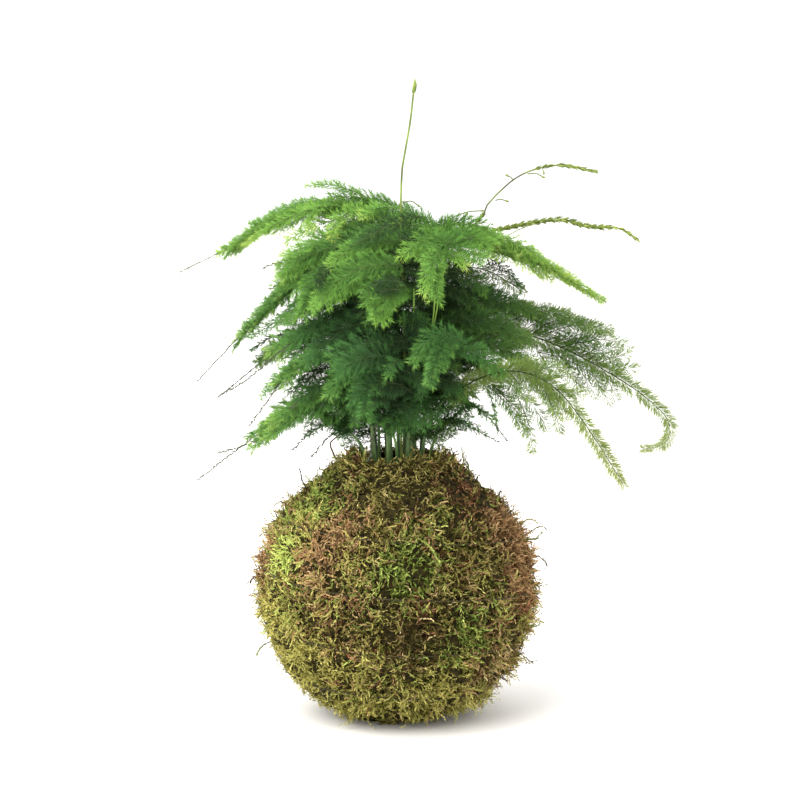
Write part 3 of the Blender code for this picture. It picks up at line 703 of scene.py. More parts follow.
# Single plumes beside the blades, each of the frond that it is listed under: points along it from its
# foot, half width, youth and, where there is one, the bare part of the tip. All lengths in mm
PLUMES = {
    "mid_back": (
        (((4, 14, 162), (12, 30, 168), (20, 44, 161), (26, 54, 150)), 6, 0.3),
        (((-4, 14, 160), (-12, 30, 166), (-18, 44, 159), (-24, 54, 147)), 6, 0.26),
        (((0, 14, 150), (2, 32, 155), (4, 46, 148), (4, 56, 136)), 6, 0.24),
        (((12, 12, 150), (26, 24, 154), (38, 34, 146), (46, 40, 135)), 5.5, 0.2),
        (((-12, 12, 150), (-24, 26, 153), (-36, 36, 145), (-44, 42, 133)), 5.5, 0.22),
    ),
    "upper_back": (
        # The next eleven plumes are near-black: painted shade in the middle of the plant.
        (((-6, 12, 176), (4, 18, 182), (14, 22, 181), (24, 24, 174)), 7, 0.02),
        (((14, 10, 178), (4, 14, 184), (-8, 18, 183), (-18, 20, 176)), 7, 0.02),
        (((-6, 8, 186), (-16, 14, 188), (-28, 18, 184), (-38, 20, 176)), 7, 0.06),
        (((4, 8, 168), (12, 12, 172), (20, 14, 170), (28, 15, 164)), 7, 0.02),
        (((-4, 2, 166), (4, 6, 174), (14, 8, 176), (24, 8, 171)), 7, 0.02),
        (((22, 2, 170), (12, 6, 177), (2, 8, 177), (-8, 8, 171)), 7, 0.02),
        (((2, 0, 180), (10, 4, 184), (18, 6, 180)), 6, 0.02),
        (((8, -6, 160), (14, -4, 170), (22, -4, 173), (30, -6, 168)), 6.5, 0.02),
        (((2, -4, 156), (-4, -2, 166), (-12, 0, 170), (-20, 0, 166)), 6.5, 0.02),
        (((-34, 0, 164), (-26, 2, 171), (-16, 2, 173), (-6, 2, 168)), 7, 0.02),
        (((8, -2, 160), (0, 0, 166), (-8, 0, 168), (-16, 0, 163)), 7, 0.02),
        (((4, 12, 198), (12, 24, 205), (20, 38, 201), (26, 48, 190)), 6, 0.34),
        (((-4, 12, 198), (-12, 26, 205), (-18, 40, 200), (-24, 50, 189)), 6, 0.3),
        (((2, 16, 192), (4, 32, 197), (3, 46, 190), (2, 54, 179)), 6, 0.36),
        (((12, 14, 186), (24, 26, 190), (36, 36, 184), (44, 42, 173)), 6, 0.26),
        (((-10, 14, 186), (-22, 28, 190), (-32, 38, 183), (-40, 46, 172)), 6, 0.24),
        (((8, 18, 178), (14, 34, 182), (18, 48, 175), (20, 56, 164)), 6, 0.28),
        (((0, 2, 200), (-8, 10, 207), (-18, 18, 207), (-28, 24, 199)), 6, 0.3),
        (((6, 2, 202), (2, 14, 208), (-4, 26, 207), (-8, 34, 200)), 6, 0.34),
        (((8, 4, 202), (16, 14, 208), (24, 24, 205), (30, 32, 196)), 6, 0.34),
        (((2, 8, 192), (-4, 18, 197), (-12, 26, 195), (-18, 32, 188)), 6, 0.2),
    ),
    "upper_left": (
        (((23, 4, 207), (15, 3, 212), (6, 2, 216), (-4, 1, 220), (-16, 0, 223), (-28, -1, 223)), 5.5, 0.34),
        (((-14, -2, 224), (-22, -3, 227), (-30, -3, 228.5), (-38, -3, 228)), 2.2, 0.5),
        (((12, -8, 211), (-2, -10, 212), (-16, -12, 210), (-28, -14, 206), (-36, -15, 201)), 6, 0.5),
        (((-6, -6, 216), (-20, -9, 215), (-34, -12, 211), (-46, -14, 205)), 5, 0.55),
        (((-20, -12, 212), (-26, -15, 207), (-28, -17, 202)), 3.5, 0.7),
        (((22, -2, 203), (14, -3, 209), (4, -4, 213), (-8, -5, 216), (-20, -6, 218)), 6, 0.4),
        (((20, 2, 200), (12, 0, 206), (2, -3, 209), (-10, -6, 211), (-22, -8, 211)), 6.5, 0.34),
        (((0, -2, 206), (-14, -4, 209), (-28, -7, 206), (-40, -9, 200), (-50, -10, 194)), 6, 0.5),
        (((-8, 0, 200), (-22, -3, 202), (-36, -6, 197), (-48, -8, 190)), 6, 0.36),
        (((-30, -8, 219), (-42, -10, 216), (-54, -11, 210), (-64, -11, 203)), 2.8, 0.6),
        (((19, 0, 209), (12, 1, 214), (3, 2, 218.5), (-5, 3, 221), (-14, 2, 222)), 3.8, 0.42),
        (((-30, -8, 220), (-34, -12, 218), (-36, -15, 214), (-36, -16, 210)), 4, 0.64),
        (((-20, -8, 217), (-24, -14, 214), (-26, -18, 210), (-26, -20, 205)), 4, 0.66),
        (((-4, -6, 219), (-10, -10, 218), (-14, -12, 215)), 4, 0.6),
        (((9, -4, 208), (0, -8, 211), (-10, -12, 210), (-21, -15, 205), (-28, -17, 199)), 7, 0.16),
        (((7, -6, 205), (-4, -10, 207), (-16, -14, 204), (-25, -18, 198), (-32, -20, 191)), 7, 0.22),
        (((-22, -2, 219), (-31, -5, 219), (-41, -8, 214), (-51, -9, 209)), 5, 0.52),
    ),
    "upper_left_front": (
        (((10, -12, 206), (-8, -18, 206), (-26, -22, 203), (-40, -25, 198), (-49, -26, 193)), 6, 0.3),
        (((0, -10, 200), (-18, -16, 199), (-34, -20, 194), (-46, -22, 189), (-53, -23, 185)),
         5.5, 0.3, 0.06),
        (((-30, -21, 199), (-42, -24, 198), (-51, -26, 196), (-55, -27, 194)), 1.2, 0.2, 0.5),
        (((-2, -16, 190), (-14, -20, 189), (-26, -23, 184), (-38, -25, 177), (-45, -26, 172)), 5.5, 0.2),
        (((-18, -14, 207), (-28, -18, 206), (-37, -21, 203), (-47, -23, 199)), 5.5, 0.5),
        (((-19, -16, 203), (-29, -20, 202), (-39, -23, 197), (-48, -25, 190)), 6, 0.5),
        (((-21, -18, 197), (-30, -22, 195), (-37, -25, 190), (-43, -26, 185)), 6, 0.24),
    ),
    "upper_front": (
        (((3, -30, 206), (-6, -36, 206), (-16, -40, 204), (-22, -43, 200), (-28, -45, 196)), 5.5, 0.44),
        (((3, -40, 196), (-6, -48, 197), (-16, -51, 195), (-23, -52, 190), (-29, -52, 185),
          (-34, -52, 179)), 6.5, 0.38),
        (((2, -38, 192), (-8, -47, 193), (-17, -50, 190), (-23, -51, 185), (-28, -51, 181)), 5.5, 0.34),
        (((4, -42, 188), (-1, -50, 187), (-4, -56, 183), (-6, -60, 175)), 6.5, 0.34),
        (((1, -40, 189), (-6, -50, 189), (-11, -55, 185), (-12, -57, 181)), 5, 0.28),
        (((4, -42, 186), (1, -50, 185), (-1, -54, 183), (-2, -56, 180)), 3.5, 0.46),
        (((14, -18, 205), (4, -24, 206), (-8, -28, 203), (-18, -31, 198)), 6, 0.12),
        # These two thin near-black plumes are painted shade: dark foliage where the spray has a shadowed
        # gap.
        (((3, -50, 190), (-4, -55, 190.5), (-11, -54, 188)), 2, 0.0),
        (((2, -52, 187), (-4, -56, 187), (-9, -55, 185)), 2, 0.0),
        (((10, -30, 216), (-1, -37, 213), (-11, -40, 208), (-20, -41, 203)), 4.5, 0.12),
        # This thin near-black plume is painted shade too.
        (((-26, -48, 196), (-30, -53, 192), (-31, -53, 187)), 2.6, 0.0),
    ),
    "upper_front_right": (
        (((12, -16, 203), (21, -20, 207), (30, -23, 208), (40, -25, 204)), 6, 0.4),
        (((8, -30, 202), (17, -38, 204), (27, -40, 203), (36, -41, 199)), 6, 0.38),
        (((23, -34, 206), (14, -42, 207), (7, -45, 204), (3, -46, 200)), 5.5, 0.4),
        (((32, -30, 207), (23, -40, 206), (16, -44, 203), (10, -46, 199)), 6, 0.36),
        (((19, -42, 203), (15, -50, 198), (13, -54, 193), (11, -56, 186)), 4.5, 0.52),
        (((21, -38, 202), (25, -42, 200), (29, -43, 196)), 3.5, 0.62),
    ),
    "upper_right": (
        (((14, -6, 209), (24, -10, 212), (34, -12, 211), (43, -14, 206)), 5, 0.4),
        (((10, -8, 203), (20, -11, 206), (30, -13, 205), (40, -14, 201)), 4.5, 0.4),
        (((30, 2, 199), (40, -2, 197), (48, -4, 191), (54, -5, 184)), 3, 0.06),
        (((36, -6, 204), (48, -9, 201), (58, -11, 195), (66, -12, 188)), 4, 0.66),
        (((26, -6, 206), (40, -8, 207), (53, -10, 203), (66, -12, 194), (77, -12, 186)), 3.6, 0.64),
        (((10, -2, 203), (20, -4, 207), (32, -6, 207), (44, -8, 202), (52, -9, 197)), 5, 0.5),
        (((12, 2, 206), (20, 2, 210), (30, 1, 211), (40, 0, 208)), 4, 0.4),
        (((30, -8, 203), (42, -10, 200), (53, -12, 196), (62, -12, 189)), 3.6, 0.78),
        (((14, -8, 188), (22, -10, 192), (31, -12, 190), (38, -13, 184)), 6, 0.1),
    ),
    "upper_right_back": (
        (((12, 6, 178), (22, 6, 184), (32, 5, 183), (40, 3, 178)), 5, 0.05),
    ),
    "mid_front_right": (
        (((30, -36, 163), (20, -42, 168), (12, -47, 165), (7, -50, 157)), 5, 0.44),
        (((16, -28, 158), (26, -34, 162), (36, -38, 158), (44, -40, 151)), 5.5, 0.42),
        (((16, -20, 168), (9, -26, 173), (2, -30, 173)), 2.5, 0.4),
    ),
    "mid_right_back": (
        (((18, -4, 176), (32, -8, 181), (46, -10, 180), (58, -12, 175)), 6.5, 0.16),
        (((16, -10, 168), (30, -16, 172), (44, -20, 170), (56, -22, 163)), 6.5, 0.22),
        (((14, -6, 160), (26, -10, 164), (40, -14, 162), (50, -16, 155)), 6, 0.12),
        (((16, 4, 172), (30, 2, 178), (44, 0, 178), (56, -2, 174), (64, -3, 168)), 7, 0.14),
        (((14, 8, 164), (28, 8, 170), (42, 6, 168), (54, 4, 160)), 7, 0.08),
        (((12, -2, 150), (24, -6, 156), (36, -10, 155), (46, -12, 149)), 6.5, 0.14),
        (((12, 6, 146), (24, 6, 152), (36, 4, 151), (46, 2, 144)), 6.5, 0.06),
        (((18, -14, 162), (32, -20, 164), (46, -24, 160), (58, -26, 152)), 6, 0.3),
        (((14, -2, 178), (24, -4, 184), (34, -6, 183), (43, -7, 178)), 6.5, 0.06),
        (((12, -6, 170), (22, -10, 176), (32, -13, 175), (41, -15, 169)), 6.5, 0.1),
        (((14, -8, 186), (20, -10, 188), (27, -12, 184), (32, -13, 178)), 6, 0.04),
    ),
    "mid_left": (
        (((-8, -6, 190), (-24, -10, 188), (-38, -13, 180), (-50, -15, 170)), 5, 0.36),
        (((-20, -4, 184), (-36, -8, 180), (-50, -11, 171), (-62, -13, 164)), 4.5, 0.4),
        (((-6, -2, 182), (-20, -4, 184), (-34, -7, 178), (-46, -9, 169)), 6, 0.22),
        (((-4, -12, 178), (-20, -18, 176), (-36, -22, 168), (-50, -24, 158), (-62, -26, 148),
          (-74, -27, 141)), 4.5, 0.3, 0.45),
        (((-26, -8, 169), (-36, -14, 168), (-45, -17, 164), (-54, -19, 159)), 6.5, 0.58),
        (((-28, -10, 163), (-37, -16, 161), (-44, -19, 159), (-49, -20, 156)), 5, 0.56),
        (((-47, -15, 166), (-54, -17, 164), (-61, -18, 159)), 1.2, 0.1),
    ),
    "mid_left_front": (
        (((-14, -16, 160), (-28, -22, 160), (-42, -26, 154), (-50, -28, 148), (-56, -29, 141)), 4, 0.46),
        (((-16, -20, 150), (-26, -26, 148), (-36, -30, 143), (-44, -32, 136)), 4, 0.24, 0.15),
        (((-10, -28, 172), (-20, -34, 170), (-30, -38, 163), (-38, -40, 155)), 5.5, 0.26),
        (((-8, -10, 176), (-20, -16, 178), (-32, -20, 172), (-42, -22, 164)), 6, 0.2),
        (((-4, -8, 184), (-14, -14, 186), (-24, -18, 182), (-33, -20, 174)), 6, 0.12),
        (((-14, -12, 156), (-28, -17, 158), (-41, -20, 152), (-52, -22, 143)), 5.5, 0.3),
        (((-16, -14, 142), (-27, -19, 143), (-37, -22, 138), (-45, -24, 131)), 5, 0.34),
        (((-8, -8, 164), (-20, -14, 168), (-33, -18, 164), (-44, -21, 156)), 6.5, 0.16),
        (((-10, -8, 140), (-20, -14, 146), (-30, -18, 143), (-38, -20, 136)), 6, 0.2),
    ),
    "mid_front": (
        (((0, -40, 163), (-10, -50, 165), (-19, -55, 163), (-26, -56, 159)), 6.5, 0.26),
        (((0, -44, 158), (-9, -56, 160), (-18, -61, 158), (-24, -62, 154)), 6.5, 0.24),
        (((2, -46, 158), (-1, -54, 157), (-3, -58, 152)), 3.5, 0.36),
        (((3, -40, 147), (-6, -54, 149), (-13, -62, 147), (-18, -64, 143)), 6, 0.16),
        (((-3, -44, 142), (-9, -58, 143), (-14, -64, 141)), 5, 0.2),
        (((-10, -22, 158), (-16, -30, 157), (-22, -36, 151), (-28, -40, 142)), 6.5, 0.46),
        (((0, -22, 172), (6, -30, 172), (10, -36, 166), (12, -40, 158)), 5, 0.18),
        (((-4, -14, 178), (-10, -22, 180), (-16, -28, 175), (-20, -31, 167)), 6, 0.1),
        (((0, -12, 172), (-2, -22, 176), (-5, -30, 171), (-7, -34, 162)), 6, 0.06),
        (((4, -10, 150), (6, -20, 154), (9, -28, 150), (11, -32, 142)), 6, 0.1),
        (((-4, -12, 142), (-8, -22, 146), (-13, -28, 142), (-17, -31, 134)), 6, 0.22),
        (((2, -12, 138), (3, -22, 142), (5, -28, 137), (6, -30, 130)), 5.5, 0.14),
        (((12, -30, 160), (5, -36, 165), (-3, -40, 163), (-10, -41, 157)), 5.5, 0.14),
        (((-10, -32, 150), (-2, -39, 154), (6, -42, 152), (12, -42, 146)), 5.5, 0.12),
        (((10, -28, 140), (2, -34, 146), (-6, -37, 143), (-10, -37, 138)), 5.5, 0.18),
        (((-6, -24, 134), (1, -30, 138), (8, -33, 135), (12, -33, 129)), 5, 0.2),
    ),
    "lower_left": (
        (((-18, -14, 138), (-30, -20, 138), (-44, -24, 131), (-54, -27, 124), (-60, -29, 119)), 5, 0.5),
        (((-44, -22, 128), (-56, -24, 123), (-66, -26, 119), (-75, -28, 117)), 1.2, 0.1, 0.75),
        (((-20, -14, 128), (-30, -18, 128), (-38, -22, 123), (-43, -24, 118)), 2.2, 0.3, 0.3),
        (((-14, -12, 126), (-22, -16, 126), (-30, -20, 121), (-35, -22, 115)), 1.6, 0.2, 0.5),
        (((-21, -18, 148), (-28, -24, 145), (-38, -28, 139), (-46, -31, 134), (-53, -33, 129)), 5.5, 0.56),
        (((-21, -18, 142), (-30, -25, 138), (-39, -29, 134), (-47, -33, 129), (-54, -35, 124)), 5.5, 0.52),
        (((-33, -20, 152), (-37, -22, 150), (-41, -23, 146)), 1, 0.1),
    ),
    "lower_front": (
        (((-8, -10, 132), (-14, -16, 138), (-22, -20, 136), (-29, -22, 129)), 5, 0.3),
        (((-4, -12, 134), (-8, -19, 140), (-13, -24, 137), (-17, -27, 129)), 5, 0.24),
        (((2, -12, 134), (2, -20, 140), (1, -26, 136), (0, -29, 128)), 5, 0.2),
        (((8, -10, 134), (12, -18, 140), (15, -23, 136), (17, -26, 129)), 5, 0.24),
        (((10, -8, 136), (18, -12, 142), (26, -15, 138), (31, -17, 131)), 5, 0.18),
        (((-12, -6, 134), (-22, -10, 138), (-31, -13, 134), (-37, -15, 127)), 4.5, 0.3),
    ),
    "lower_right": (
        (((17, -8, 128), (24, -10, 129), (33, -11, 125), (43, -12, 120)), 2, 0.3, 0.2),
        (((28, -12, 146), (36, -14, 146), (41, -15, 136), (43, -15, 123)), 1.2, 0.5, 0.1),
        (((22, -6, 138), (27, -8, 137), (33, -9, 134)), 1.6, 0.05, 0.2),
    ),
    "mid_right": (
        (((62, -9, 165), (74, -10, 169), (84, -11, 169), (92, -12, 167)), 4, 0.4),
        (((70, -9, 160), (84, -9, 163), (94, -9, 162), (100, -9, 159)), 4, 0.45),
        (((44, -8, 168), (54, -10, 174), (64, -11, 175), (74, -12, 172)), 4.5, 0.3),
        (((54, -14, 152), (61, -16, 145), (66, -17, 138), (68, -17, 131)), 4, 0.5),
        (((66, -10, 164), (78, -11, 162), (88, -12, 157), (95, -12, 151)), 4, 0.4),
        (((60, -12, 158), (72, -13, 155), (82, -14, 149), (89, -14, 142)), 4, 0.42),
        (((58, -10, 166), (66, -11, 171), (75, -12, 171), (83, -12, 168)), 4, 0.38),
    ),
    "right_drooping": (
        (((44, -30, 150), (50, -32, 142), (55, -33, 130), (57, -33, 117)), 4, 0.5),
        (((36, -26, 148), (42, -28, 142), (48, -29, 136), (52, -29, 128)), 4.5, 0.42),
        (((56, -40, 152), (62, -42, 144), (66, -43, 134), (68, -43, 127)), 4, 0.45),
        (((40, -28, 146), (46, -30, 140), (51, -31, 133), (54, -32, 125)), 4, 0.42),
        (((46, -32, 148), (54, -34, 141), (60, -36, 133), (63, -36, 127)), 4, 0.42),
    ),
}
# Bare stalks that show between the plumes: points in mm
STALKS = {
    "upper_right": (
        ((20.5, -22, 197), (19, -22, 188), (17, -19, 176), (15, -15, 165)),
        ((17.5, -22, 193), (16.5, -22, 184), (15.5, -19, 172), (14, -14, 160)),
        ((7.5, -24, 186), (7.4, -24, 178), (6.8, -21, 168)),
    ),
    "mid_front_right": (
        ((3, -31, 178), (4.7, -31, 164), (7.3, -30, 151), (8.2, -26, 140)),
        ((13, -14, 127), (17.5, -17, 132), (23, -20, 138), (28.5, -24, 147), (31, -25, 151)),
    ),
}
BUD_AGE = 0.01  # the palette's place for the dark buds on bare tips
WOOD_AGE = 0.06  # the palette's place for ribs
BRANCHLET_GAP = 1.0 * MM
NEEDLE_STEP = 0.8 * MM
NEEDLE_WIDTH = 0.29 * MM
BRUSH_WIDTH = 0.23 * MM
PLUME_HALF = 4.4 * MM
FILLERS = 9  # plumes on each stem, under its blade
FILLER_LENGTH = (20, 42)
FILLER_HALF = 7 * MM
FILLERS_ABOVE = 134  # height in mm of the lowest of them
FILLERS_ABOVE_OPEN = 152  # and where the plant is open
LOW_PLUMES = 7  # short ones near each stem's foot
LOW_PLUME_HALF = 3.4 * MM
RIB_NEEDLES_PER_MM = 4.8
SPRAY_START = 0.04  # part of a blade before its first side plume
LATE_START = 0.32  # and on the drooping spray


def outward(points):
    """Out of the plant and up, turned somewhat to the front or back, for flat sides to face."""
    front = np.where(points[:, 1:2] < 12 * MM, -1.0, 1.0) * (0, 1.3, 0)
    return unit(unit(points * (1, 1, 0)) + front + 0.8 * UP)


def needles_on(growth, feet, ways, sides, length, age, tone, rng,
               width=NEEDLE_WIDTH, flat=0.6, lean=(20, 48)):
    """A needle from each foot, leaning off its twig. Its flat side faces out of the plant and up."""
    n = len(feet)
    face = np.cross(ways, sides)
    tilt = rng.normal(0, flat, n)
    out = (rng.choice((-1.0, 1.0), n) * np.cos(tilt))[:, None] * sides + np.sin(tilt)[:, None] * face
    angle = np.radians(rng.uniform(*lean, n))
    way = unit(swung(ways, out, angle))
    size = length * rng.uniform(0.75, 1.15, n)
    soft = outward(feet)
    facing = unit(soft + 0.2 * rng.normal(size=(n, 3)))
    tone = tone + rng.normal(0, 0.08, n)
    odd = rng.random(n) < 0.03
    tone[odd] = rng.uniform(0, 1, odd.sum())
    grow = growth.lozenges if width == BRUSH_WIDTH else growth.slivers
    grow(feet, way, facing, size, width, age.clip(0.12, 0.94), tone.clip(0.005, 0.98),
         unit(0.7 * soft + 0.4 * out + 0.15 * ways))


def along(line, ways, t):
    """Points and directions at parts t of a line with evenly spaced points."""
    at = t * (len(line) - 1)
    low = at.astype(int).clip(0, len(line) - 2)
    part = (at - low)[:, None]
    return line[low] * (1 - part) + line[low + 1] * part, unit(ways[low] * (1 - part) + ways[low + 1] * part)


def feather(growth, line, sides, half, youth, needle, rng, bare=0.0, rib=0.22, brush=0, crowd=1.0):
    """A plume: a rib along line, short branchlets to either side of it, and needles on both.

    half is the plume's half width at each point of line. A brush has no branchlets, only that many
    needles on each mm of its rib.
    """
    ways = headings(line)
    long = np.linalg.norm(np.diff(line, axis=0), axis=1).sum()
    tone = rng.uniform(0.25, 0.75)
    live = 1 - bare
    cuts = np.linspace(0, 1, max(4, round(long / (3 * MM))))
    radius = np.interp(cuts, (0, live, 1), (rib, max(0.3 * rib, 0.09), 0.06)) * MM
    growth.tube(along(line, ways, cuts)[0], radius, 3, WOOD_AGE, 0.3)
    if bare:
        buds(growth, line, ways, sides, live, long, rng)

    per_mm = brush or RIB_NEEDLES_PER_MM
    t = np.sort(rng.uniform(0, live, round(long * live / MM * per_mm * crowd)))
    feet, dirs = along(line, ways, t)
    across_line = along(line, sides, t)[1]
    end = t / live
    size = needle * (1 - 0.35 * end**4) * np.where(end > 0.93, 0.7, 1.0)
    age = youth + 0.3 * end**3 + rng.normal(0, 0.03, len(t))
    if brush:
        needles_on(growth, feet, dirs, across_line, 1.1 * size, age, tone, rng,
                   BRUSH_WIDTH, flat=0.8, lean=(34, 72))
        return
    needles_on(growth, feet, dirs, across_line, size, age, tone, rng)

    t = np.arange(0.3 * MM, long * live, BRANCHLET_GAP) / long
    t = (t + rng.uniform(-0.4, 0.4, len(t)) * BRANCHLET_GAP / long).clip(0, live)
    n = len(t)
    feet, dirs = along(line, ways, t)
    across_line = along(line, sides, t)[1]
    face = np.cross(dirs, across_line)
    sign = np.where(np.arange(n) % 2, 1.0, -1.0)[:, None]
    lean = np.radians(52 - 16 * t / live + rng.uniform(-6, 6, n))
    out = unit(sign * across_line + face * rng.normal(0, 0.3, n)[:, None])
    way = unit(swung(dirs, out, lean))
    reach = np.interp(t * (len(line) - 1), np.arange(len(line)), half)
    size = (reach / np.sin(lean) * rng.uniform(0.75, 1.1, n)).clip(0.8 * MM, None)
    facing = outward(feet)
    growth.slivers(feet, way, facing, size, 0.18 * MM, WOOD_AGE, rng.uniform(0.1, 0.9, n))
    number = np.maximum(3, np.round(size / NEEDLE_STEP * 3.3 * crowd)).astype(int)
    which = np.repeat(np.arange(n), number)
    u = rng.uniform(0.1, 1.0, len(which))
    spots = feet[which] + (size[which] * u)[:, None] * way[which]
    plane = unit(np.cross(face[which], way[which]))
    # The 0.14 * u**2 term is painted light and shade: needles darker near the rib, paler out on the
    # branchlet's fringe.
    age = youth + 0.3 * (t[which] / live) ** 3 + 0.14 * u**2 + rng.normal(0, 0.03, len(which))
    needles_on(growth, spots, way[which], plane, needle * (0.92 - 0.3 * u), age, tone, rng)


def buds(growth, line, ways, sides, start, long, rng):
    """Small dark buds along the bare end of a rib."""
    t = np.arange(start * long, long, 0.9 * MM) / long
    t = (t + rng.uniform(-0.3, 0.3, len(t)) * 0.9 * MM / long).clip(0, 1)
    feet, dirs = along(line, ways, t)
    across_line = along(line, sides, t)[1]
    sign = rng.choice((-1.0, 1.0), len(t))[:, None]
    way = unit(dirs + sign * across_line * rng.uniform(0.3, 0.9, len(t))[:, None])
    facing = outward(feet)
    size = rng.uniform(1.2, 2.3, len(t)) * MM
    growth.slivers(feet, way, facing, size, 0.8 * MM, BUD_AGE, rng.uniform(0, 0.9, len(t)))


def plume_shape(count, half):
    """Half widths along a plume: full soon after its foot, narrowing to a blunt point."""
    t = np.linspace(0, 1, count)
    return half * np.minimum(1, 0.5 + 2.2 * t) * (1 - 0.72 * t**2.2)


def frond(growth, line, sides, widths, look, brush, start, rng):
    """A flat spray along a CAD blade's midrib, with side plumes from part start of it on, and a bare tip."""
    _, youth, needle, reach, gap, lean_foot, lean_tip, droop, tail, bare, sag = look
    needle = needle * MM
    total = len(line) - 1
    line = line - sag * MM * np.sin(math.pi * np.linspace(0, 1, total + 1))[:, None] * UP
    ways = headings(line)
    core = np.interp(np.arange(total + 1) / total, (0, 0.12, 0.75, 1), (1.5, 3.2, 2.6, 1.0)) * MM
    if brush:
        upright = unit(np.cross(ways, (0, -1, 0.3)))
        feather(growth, line, upright, core, youth + 0.16, 1.15 * needle, rng, rib=0.5, brush=2.4 * brush)
    else:
        feather(growth, line, sides, core, youth + 0.06, needle, rng, bare, rib=0.4)
    place, sign = start * total, 1.0
    while place < total * (1 - max(tail, 0.03)):
        i = int(place)
        part = place / total
        lean = math.radians(lean_foot + (lean_tip - lean_foot) * part + rng.uniform(-6, 6))
        span = reach * widths[i] / math.sin(lean) * (1 - 0.45 * part**2) * rng.uniform(0.78, 1.12)
        span = max(min(span, 0.85 * (total * (1 - 0.7 * bare) - place) * MM), 4 * MM)
        face = np.cross(ways[i], sides[i])
        side = sign * sides[i] + face * rng.normal(0, 0.12)
        if brush:
            side = unit(0.55 * side + math.copysign(0.8, side[2]) * UP)
        elif side[2] > 0:
            side = side - 0.85 * side[2] * UP
        way = unit(math.cos(lean) * ways[i] + math.sin(lean) * side)
        t = np.linspace(0, 1, max(6, round(span / MM)))[:, None]
        path = line[i] + span * (t * way + t**2 * (0.22 * ways[i] - droop * rng.uniform(0.7, 1.2) * UP))
        turned = unit(np.cross(unit(face + 1.1 * side), headings(path)))
        half = plume_shape(len(path), min(PLUME_HALF, 0.34 * span + 0.8 * MM))
        feather(growth, path, turned, half, youth + 0.1 * part, needle, rng, rib=0.2, brush=brush)
        place += gap * 0.5 * rng.uniform(0.8, 1.2)
        sign = -sign


def single_plume(growth, points, half, youth, bare, needle, brush, rng):
    """One plume along the listed points, its flat side up and out of the plant."""
    line = curve(points, 1 * MM)
    ways = headings(line)
    sides = unit(np.cross(ways, outward(line)))
    feather(growth, line, sides, plume_shape(len(line), half * MM), youth, needle, rng, bare, brush=brush)


def hanging(foot, way, length, droop, vary):
    """A line from foot along way that hangs down more and more."""
    t = np.linspace(0, 1, round(length / MM))[:, None]
    return foot + length * (t * way - droop * t**2 * UP * vary)


def fillers(growth, stem, heading, lowest, needle, rng):
    """Dark drooping plumes off the upper part of a stem, which fill the middle of the plant: their dark
    colour is painted shade.
    """
    for k in range(FILLERS):
        at = 0.38 + 0.6 * (k + rng.uniform(0.1, 0.9)) / FILLERS
        foot = stem[int(at * (len(stem) - 1))]
        if foot[2] < lowest * MM:
            continue
        turn = (1 if k % 2 else -1) * math.radians(rng.uniform(20, 120))
        level = np.array((heading[0] * math.cos(turn) - heading[1] * math.sin(turn),
                          heading[0] * math.sin(turn) + heading[1] * math.cos(turn), 0))
        rise = math.radians(rng.uniform(15, 50))
        way = math.cos(rise) * level + math.sin(rise) * UP
        length = rng.uniform(*FILLER_LENGTH) * MM
        line = hanging(foot, way, length, 0.5, rng.uniform(0.8, 1.4))
        ways = headings(line)
        sides = unit(np.cross(ways, UP) + 0.3 * rng.normal() * UP)
        half = plume_shape(len(line), FILLER_HALF)
        # Youth 0.05: their near-black colour is painted shade.
        feather(growth, line, sides, half, 0.05, 1.15 * needle, rng, crowd=0.62)


def fluff(growth, stem, needle, rng):
    """Short thin plumes low on a stem."""
    for _ in range(LOW_PLUMES):
        height = rng.uniform(119, 150) * MM
        foot = stem[np.argmin(np.abs(stem[:, 2] - height))]
        turn = math.atan2(foot[1], foot[0]) + rng.normal(0, 0.9)
        rise = math.radians(rng.uniform(15, 55))
        way = np.array((math.cos(turn) * math.cos(rise), math.sin(turn) * math.cos(rise), math.sin(rise)))
        length = rng.uniform(9, 19) * MM
        line = hanging(foot, way, length, 0.4, rng.uniform(0.5, 1.4))
        ways = headings(line)
        sides = unit(np.cross(ways, outward(line)))
        half = plume_shape(len(line), LOW_PLUME_HALF)
        feather(growth, line, sides, half, rng.uniform(0.08, 0.36), needle, rng, crowd=0.55)


def fern_piece(name, seed, materials):
    """The whole spray that one CAD blade stands for, with the plumes near it and on its stem."""
    rng = np.random.default_rng(seed)
    growth = Growth()
    line, sides, widths, stem = blade(name)
    look = FROND_LOOKS[name]
    needle = look[2] * MM
    brush = BRUSHES.get(name, 0)
    start = LATE_START if name == "right_drooping" else SPRAY_START
    frond(growth, line, sides, widths, look, brush, start, rng)
    for points, half, youth, *tip in PLUMES.get(name, ()):
        bare = tip[0] if tip else 0
        single_plume(growth, points, half, youth, bare, needle, brush if name in LOOSE else 0, rng)
    for points in STALKS.get(name, ()):
        stalk = curve(points, 2 * MM)
        age = 0.8 if name == "upper_right" else 0.4
        growth.tube(stalk, 0.36 * MM, 5, age, 0.6)
    heading = (line[-1] - line[0]) * (1, 1, 0)
    lowest = FILLERS_ABOVE_OPEN if name in OPEN_BELOW else FILLERS_ABOVE
    fillers(growth, stem, unit(heading), lowest, needle, rng)
    fluff(growth, stem, needle, rng)
    made = growth.finish(f"needles_{name}", materials[look[0]])
    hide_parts(f"frond_{name}")


# ---------------------------------------------------------------- young shoots

# Thickness of each young shoot at its foot and tip, in mm of radius
SHOOT_RADII = {"tall_shoot": (0.55, 0.46), "arching_shoot": (0.36, 0.36), "low_shoot": (0.6, 0.45)}

# Where each shoot bends off its CAD midline: part of its length from and to, and how far in mm
SHOOT_BENDS = {
    "tall_shoot": (0.78, 1.0, (1.1, 0, 0)),
    "arching_shoot": (0.42, 0.72, (6, 0, -7)),
    "low_shoot": (0.86, 1.1, (0, 0, 1.9)),
}
SHOOT_AGES = {"tall_shoot": 0.4, "arching_shoot": 0.12, "low_shoot": 0.3}

